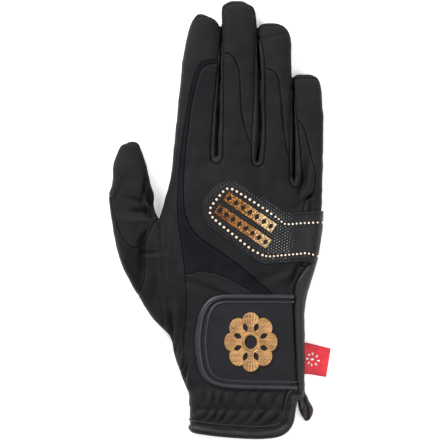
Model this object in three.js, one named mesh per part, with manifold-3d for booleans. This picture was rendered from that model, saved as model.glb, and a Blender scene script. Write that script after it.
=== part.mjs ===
// Right-hand riding glove lying palm down, back of the hand up.
// Millimetres: +Y from hem to fingertips, +X to the little-finger side, +Z up.
import * as THREE from 'three';
import { mergeVertices } from 'three/addons/utils/BufferGeometryUtils.js';
import Module from 'manifold-3d';

const wasm = await Module();
wasm.setup();

// Sizes of the whole glove.
const gloveLength = 240;
const palmWidth = 85;
const palmHeight = 15.5;
const cuffHeight = 14;
const wallThickness = 1.2;
const seamGap = 0.3;
const palmSeamHeight = 3.4;

// Fingers: length past the web, width and height of each tube.
const indexLength = 80.6;
const middleLength = 88.6;
const ringLength = 81.4;
const littleLength = 60.8;
const thumbLength = 103;
const indexWidth = 20.5;
const middleWidth = 20;
const ringWidth = 17.6;
const littleWidth = 15;
const thumbWidth = 24;
const fingerHeight = 12;
const thumbHeight = 14.5;

// Trim.
const gatherDepth = 0.6;
const gatherBacking = 0.5;
const ridgeRise = 0.35;
const bindingWidth = 3.5;
const bindingRise = 0.8;
const tabThickness = 1.5;
const tabBindingRise = 0.7;
const rosetteRadius = 14.5;
const rosetteThickness = 0.5;
const patchThickness = 1.0;
const glitterRowWidth = 6.2;
const glitterThickness = 0.5;
const stoneWidth = 1.6;
const stoneHeight = 0.75;
const stonePitch = 2.25;
const trimWidth = 1.9;
const trimThickness = 0.4;
const rollRise = 1.3;
const labelThickness = 0.9;
const labelDroop = 1.0;
const lobeThickness = 3.2;

// Heights of the layers above the skin of the glove.
const tabLevel = seamGap;
const tabTop = tabLevel + tabThickness;
const rosetteLevel = tabTop + seamGap;
const patchLevel = seamGap;
const patchTop = patchLevel + patchThickness;
const trimLevel = patchTop + seamGap;
const palmEdge = palmSeamHeight - seamGap / 2;
const backEdge = palmSeamHeight + seamGap / 2;

// Half cross-sections from the flat underside over the palm seam to the middle of the
// back. Across is a share of the half width, rise of the height above the palm seam;
// the inner skin keeps the points marked inner.
const tubeProfile = [
  { across: 0.82, at: 'floor', inner: true },
  { across: 1.00, at: 'belowSeam', inner: true },
  { across: 1.00, at: 'aboveSeam', inner: true },
  { across: 0.96, rise: 0.45, inner: false },
  { across: 0.82, rise: 0.80, inner: true },
  { across: 0.48, rise: 0.96, inner: false },
  { across: 0.00, rise: 1.00, inner: true },
];
const handProfile = [
  { across: 0.94, at: 'floor', inner: true },
  { across: 1.00, at: 'belowSeam', inner: true },
  { across: 1.00, at: 'aboveSeam', inner: true },
  { across: 0.985, rise: 0.45, inner: false },
  { across: 0.92, rise: 0.76, inner: true },
  { across: 0.76, rise: 0.92, inner: false },
  { across: 0.40, rise: 0.985, inner: true },
  { across: 0.00, rise: 1.00, inner: true },
];

// Sections of the hand from the wrist to the webs. Across shares of the half palm width,
// along shares of the glove length; tilt is how much lower the right end is, bow how far
// the middle is pushed up.
const handRows = [
  { along: 0.108, left: -0.74, right: 0.735, high: 0.82, tilt: 0, bow: 0 },
  { along: 0.192, left: -0.91, right: 0.735, high: 0.86, tilt: 0, bow: 0 },
  { along: 0.235, left: -0.97, right: 0.735, high: 0.88, tilt: 0, bow: 0 },
  { along: 0.314, left: -1.21, right: 0.748, high: 0.92, tilt: 0, bow: 0 },
  { along: 0.405, left: -1.27, right: 0.895, high: 0.97, tilt: 0, bow: 0 },
  { along: 0.456, left: -1.20, right: 0.948, high: 1.00, tilt: 0, bow: 0 },
  { along: 0.490, left: -1.118, right: 0.968, high: 1.00, tilt: 0.014, bow: 0 },
  { along: 0.520, left: -1.045, right: 0.972, high: 0.98, tilt: 0.041, bow: 0.014 },
  { along: 0.549, left: -0.98, right: 0.98, high: 0.93, tilt: 0.066, bow: 0.030 },
  { along: 0.575, left: -0.95, right: 0.990, high: 0.83, tilt: 0.072, bow: 0.041 },
  { along: 0.590, left: -0.94, right: 0.990, high: 0.66, tilt: 0.076, bow: 0.046 },
];

// Sections of the gathered cuff; gather is a share of the gather depth and shift
// moves every second row by half a pleat.
const cuffRows = [
  { along: 0.121, left: -0.762, right: 0.735, high: 0.92, gather: 0, shift: 0 },
  { along: 0.105, left: -0.735, right: 0.710, high: 0.95, gather: 0.4, shift: 0 },
  { along: 0.089, left: -0.714, right: 0.672, high: 1.00, gather: 1, shift: 0 },
  { along: 0.073, left: -0.712, right: 0.648, high: 0.93, gather: 0.35, shift: 0.5 },
  { along: 0.057, left: -0.712, right: 0.628, high: 0.98, gather: 1, shift: 1 },
  { along: 0.041, left: -0.708, right: 0.612, high: 0.90, gather: 0.5, shift: 1 },
  { along: 0.027, left: -0.701, right: 0.598, high: 0.88, gather: 0.2, shift: 1 },
  { along: -0.022, left: -0.692, right: 0.543, high: 0.88, gather: 0, shift: 1 },
];
const pleatCount = 12;

// Sections of each finger from inside the hand to the tip. Along is a share of the
// finger length, left and right shares of its half width, high of its height.
const indexRows = [
  { along: -0.27, left: -0.97, right: 1.01, high: 0.95 },
  { along: 0.00, left: -1.16, right: 1.17, high: 1.06 },
  { along: 0.28, left: -1.10, right: 1.06, high: 1.00 },
  { along: 0.69, left: -0.99, right: 0.99, high: 0.98 },
  { along: 0.81, left: -0.89, right: 0.96, high: 0.93 },
  { along: 0.89, left: -0.80, right: 0.92, high: 0.86 },
  { along: 0.95, left: -0.70, right: 0.75, high: 0.76 },
  { along: 0.98, left: -0.55, right: 0.36, high: 0.60 },
  { along: 1.00, left: -0.43, right: -0.03, high: 0.38 },
];
const middleRows = [
  { along: -0.23, left: -0.94, right: 0.98, high: 0.95 },
  { along: 0.00, left: -1.10, right: 1.12, high: 1.06 },
  { along: 0.27, left: -1.00, right: 1.15, high: 1.00 },
  { along: 0.64, left: -0.93, right: 1.04, high: 0.98 },
  { along: 0.83, left: -0.90, right: 0.97, high: 0.93 },
  { along: 0.90, left: -0.91, right: 0.92, high: 0.86 },
  { along: 0.96, left: -0.90, right: 0.79, high: 0.74 },
  { along: 0.98, left: -0.78, right: 0.54, high: 0.58 },
  { along: 1.00, left: -0.42, right: 0.20, high: 0.38 },
];
const ringRows = [
  { along: -0.26, left: -0.92, right: 0.89, high: 0.95 },
  { along: 0.00, left: -1.09, right: 1.07, high: 1.06 },
  { along: 0.35, left: -0.88, right: 1.10, high: 1.00 },
  { along: 0.76, left: -0.91, right: 1.05, high: 0.98 },
  { along: 0.88, left: -0.95, right: 1.05, high: 0.93 },
  { along: 0.93, left: -0.98, right: 0.95, high: 0.84 },
  { along: 0.97, left: -0.93, right: 0.72, high: 0.72 },
  { along: 0.99, left: -0.80, right: 0.42, high: 0.56 },
  { along: 1.00, left: -0.50, right: 0.05, high: 0.38 },
];
const littleRows = [
  { along: -0.31, left: -0.67, right: 0.87, high: 0.95 },
  { along: -0.02, left: -1.02, right: 1.03, high: 1.06 },
  { along: 0.33, left: -0.96, right: 1.11, high: 1.00 },
  { along: 0.60, left: -0.94, right: 1.17, high: 1.00 },
  { along: 0.74, left: -0.97, right: 1.09, high: 0.97 },
  { along: 0.85, left: -0.99, right: 1.05, high: 0.90 },
  { along: 0.92, left: -1.02, right: 0.96, high: 0.80 },
  { along: 0.97, left: -0.96, right: 0.77, high: 0.62 },
  { along: 1.00, left: -0.66, right: 0.33, high: 0.38 },
];
const thumbRows = [
  { along: -0.04, left: 0.02, right: 0.66, high: 0.50 },
  { along: 0.06, left: -0.69, right: 1.30, high: 0.86 },
  { along: 0.16, left: -1.06, right: 1.38, high: 0.95 },
  { along: 0.35, left: -1.60, right: 1.30, high: 1.00 },
  { along: 0.45, left: -1.67, right: 1.08, high: 1.00 },
  { along: 0.53, left: -1.66, right: 0.76, high: 0.98 },
  { along: 0.60, left: -1.63, right: 0.44, high: 0.93 },
  { along: 0.66, left: -1.60, right: 0.38, high: 0.86 },
  { along: 0.72, left: -1.54, right: 0.50, high: 0.90 },
  { along: 0.78, left: -1.26, right: 0.44, high: 0.90 },
  { along: 0.88, left: -1.04, right: 0.42, high: 0.85 },
  { along: 0.97, left: -0.58, right: 0.30, high: 0.64 },
  { along: 0.99, left: -0.25, right: 0.26, high: 0.48 },
  { along: 1.00, left: -0.09, right: 0.14, high: 0.34 },
];

// Root of each finger as shares of half palm width and glove length; lean is how
// far the tip moves across, as a share of the finger width.
const fingers = [
  { across: -0.650, along: 0.637, length: indexLength, width: indexWidth,
    height: fingerHeight, lean: 0.26, rows: indexRows },
  { across: -0.108, along: 0.633, length: middleLength, width: middleWidth,
    height: fingerHeight, lean: 0.06, rows: middleRows },
  { across: 0.382, along: 0.612, length: ringLength, width: ringWidth,
    height: fingerHeight, lean: -0.03, rows: ringRows },
  { across: 0.812, along: 0.580, length: littleLength, width: littleWidth,
    height: fingerHeight * 0.95, lean: -0.05, rows: littleRows },
  { across: -0.971, along: 0.250, length: thumbLength, width: thumbWidth,
    height: thumbHeight, lean: -0.88, rows: thumbRows },
];

// Slots between the fingers: the gusset between its two seam lines, tip to web.
const indexMiddleSlot = [
  { along: 0.928, left: -0.313, right: -0.303 },
  { along: 0.891, left: -0.344, right: -0.292 },
  { along: 0.830, left: -0.368, right: -0.290 },
  { along: 0.759, left: -0.406, right: -0.290 },
  { along: 0.704, left: -0.432, right: -0.290 },
  { along: 0.650, left: -0.450, right: -0.295 },
];
const middleRingSlot = [
  { along: 0.921, left: 0.150, right: 0.168 },
  { along: 0.875, left: 0.127, right: 0.238 },
  { along: 0.802, left: 0.124, right: 0.250 },
  { along: 0.731, left: 0.098, right: 0.254 },
  { along: 0.685, left: 0.083, right: 0.256 },
  { along: 0.644, left: 0.078, right: 0.238 },
];
const ringLittleSlot = [
  { along: 0.814, left: 0.608, right: 0.629 },
  { along: 0.760, left: 0.589, right: 0.643 },
  { along: 0.700, left: 0.580, right: 0.686 },
  { along: 0.640, left: 0.572, right: 0.717 },
  { along: 0.595, left: 0.576, right: 0.730 },
];
const webDepth = 0.021;

// Seam lines over the back, in the same shares.
const shieldBorder = [
  { across: -0.335, along: 0.858 },
  { across: -0.470, along: 0.856 },
  { across: -0.569, along: 0.843 },
  { across: -0.634, along: 0.811 },
  { across: -0.699, along: 0.760 },
  { across: -0.738, along: 0.708 },
  { across: -0.770, along: 0.662 },
  { across: -0.793, along: 0.605 },
  { across: -0.793, along: 0.548 },
  { across: -0.764, along: 0.508 },
  { across: -0.664, along: 0.473 },
  { across: -0.518, along: 0.450 },
  { across: -0.324, along: 0.427 },
  { across: -0.065, along: 0.393 },
  { across: 0.162, along: 0.359 },
  { across: 0.298, along: 0.338 },
  { across: 0.580, along: 0.290 },
];
const indexSeam = [
  { across: -0.310, along: 0.866 },
  { across: -0.479, along: 0.865 },
  { across: -0.582, along: 0.855 },
  { across: -0.664, along: 0.825 },
  { across: -0.731, along: 0.772 },
  { across: -0.795, along: 0.708 },
  { across: -0.840, along: 0.651 },
  { across: -0.867, along: 0.594 },
  { across: -0.874, along: 0.519 },
  { across: -0.835, along: 0.462 },
  { across: -0.793, along: 0.404 },
  { across: -0.764, along: 0.347 },
  { across: -0.768, along: 0.280 },
  { across: -0.798, along: 0.236 },
  { across: -0.795, along: 0.176 },
  { across: -0.880, along: 0.140 },
];
const middleSeam = [
  { across: -0.336, along: 0.880 },
  { across: -0.272, along: 0.882 },
  { across: -0.188, along: 0.878 },
  { across: -0.124, along: 0.862 },
  { across: -0.078, along: 0.839 },
  { across: -0.065, along: 0.802 },
  { across: -0.052, along: 0.756 },
  { across: -0.013, along: 0.717 },
  { across: 0.052, along: 0.681 },
  { across: 0.124, along: 0.655 },
];
const ringSeam = [
  { across: 0.168, along: 0.842 },
  { across: 0.259, along: 0.846 },
  { across: 0.336, along: 0.843 },
  { across: 0.388, along: 0.835 },
  { across: 0.434, along: 0.818 },
  { across: 0.459, along: 0.777 },
  { across: 0.492, along: 0.720 },
  { across: 0.531, along: 0.667 },
  { across: 0.625, along: 0.617 },
];
const littleSeam = [
  { across: 0.621, along: 0.736 },
  { across: 0.673, along: 0.728 },
  { across: 0.751, along: 0.711 },
  { across: 0.800, along: 0.683 },
  { across: 0.848, along: 0.646 },
  { across: 0.896, along: 0.615 },
  { across: 0.905, along: 0.584 },
  { across: 0.870, along: 0.563 },
  { across: 0.795, along: 0.548 },
  { across: 0.751, along: 0.530 },
  { across: 0.725, along: 0.490 },
  { across: 0.725, along: 0.395 },
];
const wristArc = [
  { across: -0.950, along: 0.372 },
  { across: -0.712, along: 0.378 },
  { across: -0.582, along: 0.383 },
  { across: -0.356, along: 0.377 },
  { across: -0.129, along: 0.359 },
  { across: 0.065, along: 0.339 },
  { across: 0.220, along: 0.320 },
  { across: 0.450, along: 0.310 },
  { across: 0.950, along: 0.310 },
];
const thumbSeam = [
  { across: -1.876, along: 0.557 },
  { across: -1.745, along: 0.553 },
  { across: -1.718, along: 0.529 },
  { across: -1.637, along: 0.484 },
  { across: -1.558, along: 0.456 },
  { across: -1.475, along: 0.441 },
  { across: -1.411, along: 0.437 },
  { across: -1.346, along: 0.442 },
  { across: -1.281, along: 0.454 },
  { across: -1.229, along: 0.474 },
  { across: -1.178, along: 0.493 },
  { across: -1.125, along: 0.503 },
];
const thumbSideSeam = [
  { across: -1.400, along: 0.695 },
  { across: -1.335, along: 0.650 },
  { across: -1.287, along: 0.605 },
  { across: -1.300, along: 0.582 },
  { across: -1.274, along: 0.548 },
  { across: -1.215, along: 0.520 },
  { across: -1.165, along: 0.490 },
];
const palmCrease = [
  { across: -1.365, along: 0.436 },
  { across: -1.320, along: 0.425 },
  { across: -1.288, along: 0.408 },
  { across: -1.297, along: 0.376 },
  { across: -1.326, along: 0.353 },
  { across: -1.420, along: 0.320 },
];
const hemLine = [
  { across: -0.971, along: 0.020 },
  { across: -0.699, along: 0.013 },
  { across: -0.272, along: 0.004 },
  { across: 0.116, along: 0 },
  { across: 0.298, along: 0.001 },
  { across: 0.440, along: 0.006 },
  { across: 0.543, along: 0.018 },
  { across: 0.615, along: 0.041 },
  { across: 0.673, along: 0.069 },
  { across: 0.725, along: 0.096 },
];
const rollLine = [
  { across: 0.850, along: 0.405 },
  { across: 0.712, along: 0.376 },
  { across: 0.643, along: 0.349 },
  { across: 0.632, along: 0.309 },
  { across: 0.647, along: 0.245 },
  { across: 0.668, along: 0.181 },
  { across: 0.682, along: 0.108 },
];
const tabOutline = [
  { across: 0.680, along: 0.332 },
  { across: -0.065, along: 0.332 },
  { across: -0.310, along: 0.331 },
  { across: -0.479, along: 0.319 },
  { across: -0.595, along: 0.289 },
  { across: -0.643, along: 0.245 },
  { across: -0.644, along: 0.204 },
  { across: -0.595, along: 0.158 },
  { across: -0.479, along: 0.131 },
  { across: -0.298, along: 0.118 },
  { across: 0.000, along: 0.114 },
  { across: 0.680, along: 0.112 },
];
const patchOutline = [
  { across: 1.100, along: 0.523 },
  { across: 0.958, along: 0.521 },
  { across: 0.544, along: 0.518 },
  { across: 0.427, along: 0.529 },
  { across: 0.220, along: 0.552 },
  { across: -0.026, along: 0.578 },
  { across: -0.155, along: 0.588 },
  { across: -0.298, along: 0.586 },
  { across: -0.427, along: 0.571 },
  { across: -0.537, along: 0.545 },
  { across: -0.564, along: 0.523 },
  { across: -0.524, along: 0.496 },
  { across: -0.414, along: 0.477 },
  { across: -0.168, along: 0.446 },
  { across: 0.083, along: 0.415 },
  { across: 0.181, along: 0.404 },
  { across: 0.285, along: 0.400 },
  { across: 0.730, along: 0.406 },
  { across: 0.828, along: 0.401 },
  { across: 0.912, along: 0.390 },
  { across: 1.100, along: 0.383 },
];
const stoneLine = [
  { across: 0.960, along: 0.496 },
  { across: 0.725, along: 0.497 },
  { across: 0.492, along: 0.498 },
  { across: 0.220, along: 0.529 },
  { across: -0.026, along: 0.559 },
  { across: -0.155, along: 0.572 },
  { across: -0.260, along: 0.571 },
  { across: -0.370, along: 0.555 },
  { across: -0.452, along: 0.529 },
  { across: -0.430, along: 0.509 },
  { across: -0.311, along: 0.492 },
  { across: -0.065, along: 0.458 },
  { across: 0.168, along: 0.428 },
  { across: 0.246, along: 0.421 },
  { across: 0.336, along: 0.419 },
  { across: 0.582, along: 0.423 },
  { across: 0.789, along: 0.425 },
  { across: 0.900, along: 0.420 },
];
const glitterLines = [
  { name: 'glitter_row_upper', startAcross: -0.210, startAlong: 0.552,
    endAcross: 0.400, endAlong: 0.478, lozenges: 7 },
  { name: 'glitter_row_lower', startAcross: -0.330, startAlong: 0.527,
    endAcross: 0.300, endAlong: 0.446, lozenges: 7 },
];
const labelRows = [
  { across: 0.748, top: 0.219, bottom: 0.147 },
  { across: 0.900, top: 0.214, bottom: 0.145 },
  { across: 1.113, top: 0.205, bottom: 0.139 },
];
const lobeProfile = [
  { across: 0.80, up: 0 },
  { across: 1.00, up: 0.45 },
  { across: 0.60, up: 0.95 },
  { across: -0.60, up: 0.95 },
  { across: -1.00, up: 0.45 },
  { across: -0.80, up: 0 },
];
const lobeRows = [
  { along: 0.1005, left: 0.742, right: 0.800, high: 1.45 },
  { along: 0.085, left: 0.716, right: 0.842, high: 1.00 },
  { along: 0.064, left: 0.718, right: 0.866, high: 1.00 },
  { along: 0.049, left: 0.748, right: 0.848, high: 0.80 },
  { along: 0.040, left: 0.780, right: 0.818, high: 0.50 },
];

// Places in plan from shares.
function spot(across, along) {
  return new THREE.Vector2(across * palmWidth / 2, along * gloveLength);
}

function line(rows) {
  return rows.map((row) => spot(row.across, row.along));
}

function smooth(rows, steps) {
  return new THREE.SplineCurve(line(rows)).getPoints(steps);
}

// Outline moved sideways by a distance: to the left of its running direction.
function shift(points, distance, closed) {
  const count = points.length;
  return points.map((point, i) => {
    const before = closed ? points[(i + count - 1) % count] : points[Math.max(i - 1, 0)];
    const after = closed ? points[(i + 1) % count] : points[Math.min(i + 1, count - 1)];
    const first = point.clone().sub(before);
    const second = after.clone().sub(point);
    const a = first.lengthSq() > 0 ? first.normalize() : second.clone().normalize();
    const b = second.lengthSq() > 0 ? second.normalize() : a.clone();
    const normal = new THREE.Vector2(-a.y - b.y, a.x + b.x);
    const miter = Math.max(normal.lengthSq() / 2, 0.6);
    return point.clone().addScaledVector(normal, distance / miter);
  });
}

function grow(outline, distance) {
  const side = THREE.ShapeUtils.area(outline) > 0 ? -1 : 1;
  return shift(outline, side * distance, true);
}

// Solids.
function toSolid(geometry) {
  const bare = geometry.clone();
  bare.deleteAttribute('normal');
  bare.deleteAttribute('uv');
  const merged = mergeVertices(bare, 1e-4);
  return new wasm.Manifold(new wasm.Mesh({
    numProp: 3,
    vertProperties: merged.attributes.position.array,
    triVerts: new Uint32Array(merged.index.array),
  }));
}

function prism(outline, low = -20, high = 60) {
  const shape = new THREE.Shape(outline);
  const geometry = new THREE.ExtrudeGeometry(shape, { depth: high - low, bevelEnabled: false });
  return toSolid(geometry.translate(0, 0, low));
}

function slab(low, high) {
  const reach = gloveLength * 2;
  const corners = [[-1, -1], [1, -1], [1, 1], [-1, 1]];
  return prism(corners.map(([x, y]) => new THREE.Vector2(x * reach, y * reach)), low, high);
}

function union(solids) {
  return solids.reduce((sum, solid) => sum.add(solid));
}

// Closed skin through a list of rings with equal point counts, each capped by a fan.
function loftGeometry(rings) {
  const size = rings[0].length;
  const points = rings.flat();
  const faces = [];
  for (let r = 0; r < rings.length - 1; r++) {
    for (let i = 0; i < size; i++) {
      const a = r * size + i;
      const b = r * size + (i + 1) % size;
      faces.push(a, b + size, b, a, a + size, b + size);
    }
  }
  addCap(points, faces, 0, size, false);
  addCap(points, faces, (rings.length - 1) * size, size, true);
  const geometry = new THREE.BufferGeometry().setFromPoints(points);
  geometry.setIndex(faces);
  return geometry;
}

function addCap(points, faces, start, size, atEnd) {
  const centre = new THREE.Vector3();
  for (let i = 0; i < size; i++) {
    centre.addScaledVector(points[start + i], 1 / size);
  }
  points.push(centre);
  for (let i = 0; i < size; i++) {
    const a = start + i;
    const b = start + (i + 1) % size;
    faces.push(points.length - 1, atEnd ? b : a, atEnd ? a : b);
  }
}

// Loft with its skin moved out by the offset. The flat underside moves straight down
// and the points beside the palm seam move level.
function loft(rings, offset) {
  const places = rings.map((points) => points.map((point) => point.place));
  const geometry = loftGeometry(places);
  geometry.computeVertexNormals();
  const normal = geometry.attributes.normal;
  const size = rings[0].length;
  const moved = rings.map((points, r) => {
    const kept = points.map((point, i) => {
      const out = new THREE.Vector3().fromBufferAttribute(normal, r * size + i);
      return movedPoint(point, out, offset);
    });
    return kept.filter((_, i) => offset >= 0 || points[i].inner);
  });
  return toSolid(loftGeometry(moved));
}

function movedPoint(point, out, offset) {
  const place = point.place.clone();
  if (point.at === 'floor') {
    return place.addScaledVector(out, offset).setZ(-offset);
  }
  if (point.at) {
    return place.addScaledVector(out.setZ(0).normalize(), offset);
  }
  return place.addScaledVector(out, offset);
}

function heightOf(point, height) {
  const levels = { floor: 0, belowSeam: palmEdge, aboveSeam: backEdge };
  return point.at ? levels[point.at] : backEdge + point.rise * (height - backEdge);
}

// Ring over a section line from left to right, counter-clockwise seen from the hem.
function ring(left, right, bow, height, profile) {
  const other = profile.slice(0, -1).reverse().map((p) => ({ ...p, across: -p.across }));
  return [...profile, ...other].map((p) => ringPoint(left, right, bow, height, p));
}

function ringPoint(left, right, bow, height, p) {
  const flat = left.clone().lerp(right, (p.across + 1) / 2);
  const push = bow * (1 - p.across * p.across);
  const place = new THREE.Vector3(flat.x, flat.y + push, heightOf(p, height));
  return { place, at: p.at, inner: p.inner };
}

function handRings() {
  return handRows.map((row) => {
    const left = spot(row.left, row.along + row.tilt / 2);
    const right = spot(row.right, row.along - row.tilt / 2);
    return ring(left, right, row.bow * gloveLength, row.high * palmHeight, handProfile);
  });
}

function fingerRings(finger) {
  const root = spot(finger.across, finger.along);
  return finger.rows.map((row) => {
    const centreX = root.x + finger.lean * finger.width * row.along;
    const y = root.y + row.along * finger.length;
    const left = new THREE.Vector2(centreX + row.left * finger.width / 2, y);
    const right = new THREE.Vector2(centreX + row.right * finger.width / 2, y);
    return ring(left, right, 0, row.high * finger.height, tubeProfile);
  });
}

// Inner skin of the cuff, plain and a little lower than the pleats.
function cuffLiningRings() {
  return cuffRows.map((row) => {
    const height = row.high * cuffHeight - gatherBacking;
    return ring(spot(row.left, row.along), spot(row.right, row.along), 0, height, handProfile);
  });
}

// Cuff rings carry pleats over the back: every second point stands up.
function cuffRings() {
  return cuffRows.map((row) => {
    const left = spot(row.left, row.along);
    const right = spot(row.right, row.along);
    const height = row.high * cuffHeight;
    const side = handProfile.slice(0, 4);
    const outline = [
      ...side,
      ...pleats(row, height),
      ...side.slice().reverse().map((p) => ({ ...p, across: -p.across })),
    ];
    return outline.map((p) => ringPoint(left, right, 0, height, p));
  });
}

function pleats(row, height) {
  const points = [];
  for (let i = 0; i <= pleatCount * 2; i++) {
    const share = 0.90 - 1.80 * (i + row.shift - 0.5) / (pleatCount * 2);
    const dome = 0.72 + 0.28 * Math.sqrt(1 - share * share);
    const stand = (i % 2 ? 1 : -1) * row.gather * gatherDepth / (height - backEdge);
    points.push({ across: share, rise: dome + stand, inner: true });
  }
  return points;
}

// The whole glove as one filled body, its skin moved out by the offset.
const gloveCache = new Map();
function glove(offset) {
  if (!gloveCache.has(offset)) {
    const cuff = offset < 0 ? cuffLiningRings() : cuffRings();
    const parts = [loft(handRings(), offset), loft(cuff.reverse(), offset)];
    for (const finger of fingers) {
      parts.push(loft(fingerRings(finger), offset));
    }
    gloveCache.set(offset, union(parts));
  }
  return gloveCache.get(offset);
}

function layer(inner, outer) {
  return glove(outer).subtract(glove(inner)).intersect(slab(0, 60));
}

// Cuts a body at an outline: the part inside, and the rest beyond a seam gap.
function take(body, outline) {
  return [body.intersect(prism(outline)), body.subtract(prism(grow(outline, seamGap)))];
}

// Outlines of the regions in plan.
function slotOutline(rows) {
  const left = rows.map((row) => spot(row.left, row.along));
  const right = rows.map((row) => spot(row.right, row.along)).reverse();
  const end = rows[rows.length - 1];
  const middle = (end.left + end.right) / 2;
  const width = end.right - end.left;
  const web = [0.36, 0, -0.36].map((share) => {
    const depth = (1 - Math.abs(2 * share) ** 3) * webDepth;
    return spot(middle - share * width, end.along - depth);
  });
  return [...left, ...web, ...right];
}

function region(rows, steps, corners) {
  return [...smooth(rows, steps), ...corners.map(([across, along]) => spot(across, along))];
}

const thumbOutline = region(thumbSeam, 12,
  [[-1.125, 0.57], [-1.125, 0.72], [-1.95, 0.72]]);
const thumbBackOutline = region(thumbSideSeam, 7,
  [[-1.165, 0.40], [-1.95, 0.40], [-1.95, 0.72], [-1.42, 0.72]]);
const thumbBallOutline = [
  ...smooth(thumbSeam, 12).slice(0, 8).reverse(),
  spot(-1.95, 0.55),
  spot(-1.95, 0.25),
  ...smooth(palmCrease, 5).reverse(),
];
const indexOutline = region(indexSeam, 16,
  [[-1.10, 0.13], [-1.80, 0.30], [-1.80, 0.43], [-1.30, 0.60], [-1.10, 1.05],
    [-0.29, 1.05], [-0.308, 0.93], [-0.310, 0.90]]);
const wristOutline = region(wristArc, 9,
  [[0.95, -0.05], [-1.10, -0.05], [-1.10, 0.36]]);
const flexOutline = region(shieldBorder, 18,
  [[0.58, 0.20], [-1.10, 0.20], [-1.10, 0.90], [-0.335, 0.90]]);
const middleOutline = region(middleSeam, 9,
  [[0.175, 0.66], [0.160, 0.86], [0.158, 0.93], [0.15, 1.05], [-0.29, 1.05],
    [-0.308, 0.93], [-0.320, 0.89]]);
const ringOutline = region(ringSeam, 8,
  [[0.625, 0.70], [0.609, 0.80], [0.62, 0.88], [0.55, 1.00], [0.15, 1.00],
    [0.158, 0.93], [0.163, 0.86]]);
const littleOutline = region(littleSeam, 12,
  [[1.20, 0.395], [1.20, 0.90], [0.62, 0.90], [0.613, 0.79]]);
const rollOutline = region(rollLine, 7,
  [[0.682, 0.09], [1.20, 0.09], [1.20, 0.405]]);

const hemOuter = smooth(hemLine, 12);
const hemInner = shift(hemOuter, bindingWidth, false);
const bindingOutline = [...hemOuter, ...[...hemInner].reverse()];
const insideOutline = [
  ...shift(hemInner, seamGap, false),
  spot(1.30, 0.105),
  spot(1.30, 1.10),
  spot(-2.10, 1.10),
  spot(-2.10, 0.05),
];

// Cloth and leather of the shell.
function shellPieces() {
  const shell = layer(-wallThickness, 0).intersect(prism(insideOutline));
  const upper = shell.intersect(slab(backEdge, 60));
  const lower = shell.intersect(slab(-1, palmEdge));
  const [thumb] = take(shell, thumbOutline);
  const [ball] = take(shell.subtract(prism(grow(thumbOutline, seamGap))), thumbBallOutline);
  const thumbBack = thumb.intersect(prism(thumbBackOutline, backEdge));
  const thumbPalm = thumb.subtract(prism(grow(thumbBackOutline, seamGap), palmEdge));

  let rest = upper.subtract(prism(grow(thumbOutline, seamGap)));
  rest = rest.subtract(prism(grow(thumbBallOutline, seamGap)));
  rest = rest.subtract(prism(grow(rollOutline, seamGap)));
  const pieces = {};
  const cuts = [
    ['fourchette_index_middle', slotOutline(indexMiddleSlot)],
    ['fourchette_middle_ring', slotOutline(middleRingSlot)],
    ['fourchette_ring_little', slotOutline(ringLittleSlot)],
    ['index_panel', indexOutline],
    ['wrist_panel', wristOutline],
    ['flex_strip', flexOutline],
    ['middle_panel', middleOutline],
    ['ring_panel', ringOutline],
    ['little_panel', littleOutline],
  ];
  for (const [name, outline] of cuts) {
    [pieces[name], rest] = take(rest, outline);
  }
  pieces.back_panel = rest;
  pieces.thumb_back = thumbBack;
  pieces.thumb_palm = thumbPalm;
  pieces.palm_panel = lower.subtract(prism(grow(thumbOutline, seamGap))).add(ball);
  return pieces;
}

// Gussets stand a little proud of the panels beside them, above the palm seam.
function raisedGussets() {
  const raised = layer(-wallThickness, ridgeRise).intersect(slab(backEdge, 60));
  return {
    fourchette_index_middle: raised.intersect(prism(slotOutline(indexMiddleSlot))),
    fourchette_middle_ring: raised.intersect(prism(slotOutline(middleRingSlot))),
    fourchette_ring_little: raised.intersect(prism(slotOutline(ringLittleSlot))),
  };
}

// The palm edge rolled on to the back, below the lower edge of the knuckle patch.
function sideRoll() {
  const thick = layer(-wallThickness - 0.5, rollRise)
    .intersect(slab(backEdge, 60));
  return thick
    .intersect(prism(rollOutline))
    .intersect(prism(insideOutline))
    .subtract(prism(grow(line(patchOutline), seamGap * 1.5)));
}

function hemBinding() {
  const band = layer(-wallThickness - bindingRise, bindingRise);
  return band.intersect(prism(bindingOutline));
}

// Closure tab: centre field, binding round three sides, ornament on top.
function tabPieces() {
  const outer = region(tabOutline, 15, []);
  const inner = shift(outer, bindingWidth, false);
  const clear = prism(grow(rollOutline, seamGap * 1.5));
  const field = prism([...shift(outer, bindingWidth + seamGap, false)]);
  const rim = prism(outer).subtract(prism([...inner, spot(1.2, 0.13), spot(1.2, 0.31)]));
  const above = slab(backEdge, 60);
  return {
    closure_tab: layer(tabLevel, tabTop)
      .intersect(above).intersect(field).subtract(clear),
    tab_binding: layer(tabLevel, tabTop + tabBindingRise)
      .intersect(above).intersect(rim).subtract(clear),
    tab_rosette: rosette(),
  };
}

// Eight rounded petals round an open middle with a ring.
function rosette() {
  const centre = spot(0.068, 0.223);
  const outline = [];
  for (let i = 0; i < 24; i++) {
    const turn = (i + 0.5) / 24 * Math.PI * 2;
    const reach = rosetteRadius * (i % 3 === 1 ? 0.80 : 1);
    outline.push(new THREE.Vector2(
      centre.x + Math.sin(turn) * reach,
      centre.y + Math.cos(turn) * reach * 1.12));
  }
  let solid = prism(outline);
  for (let i = 0; i < 8; i++) {
    solid = solid.subtract(prism(petalHole(centre, (i + 0.5) * Math.PI / 4)));
  }
  const hole = new THREE.EllipseCurve(centre.x, centre.y,
    rosetteRadius * 0.22, rosetteRadius * 0.25).getPoints(12).slice(0, -1);
  solid = solid.subtract(prism(hole));
  return layer(rosetteLevel, rosetteLevel + rosetteThickness).intersect(solid);
}

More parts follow.
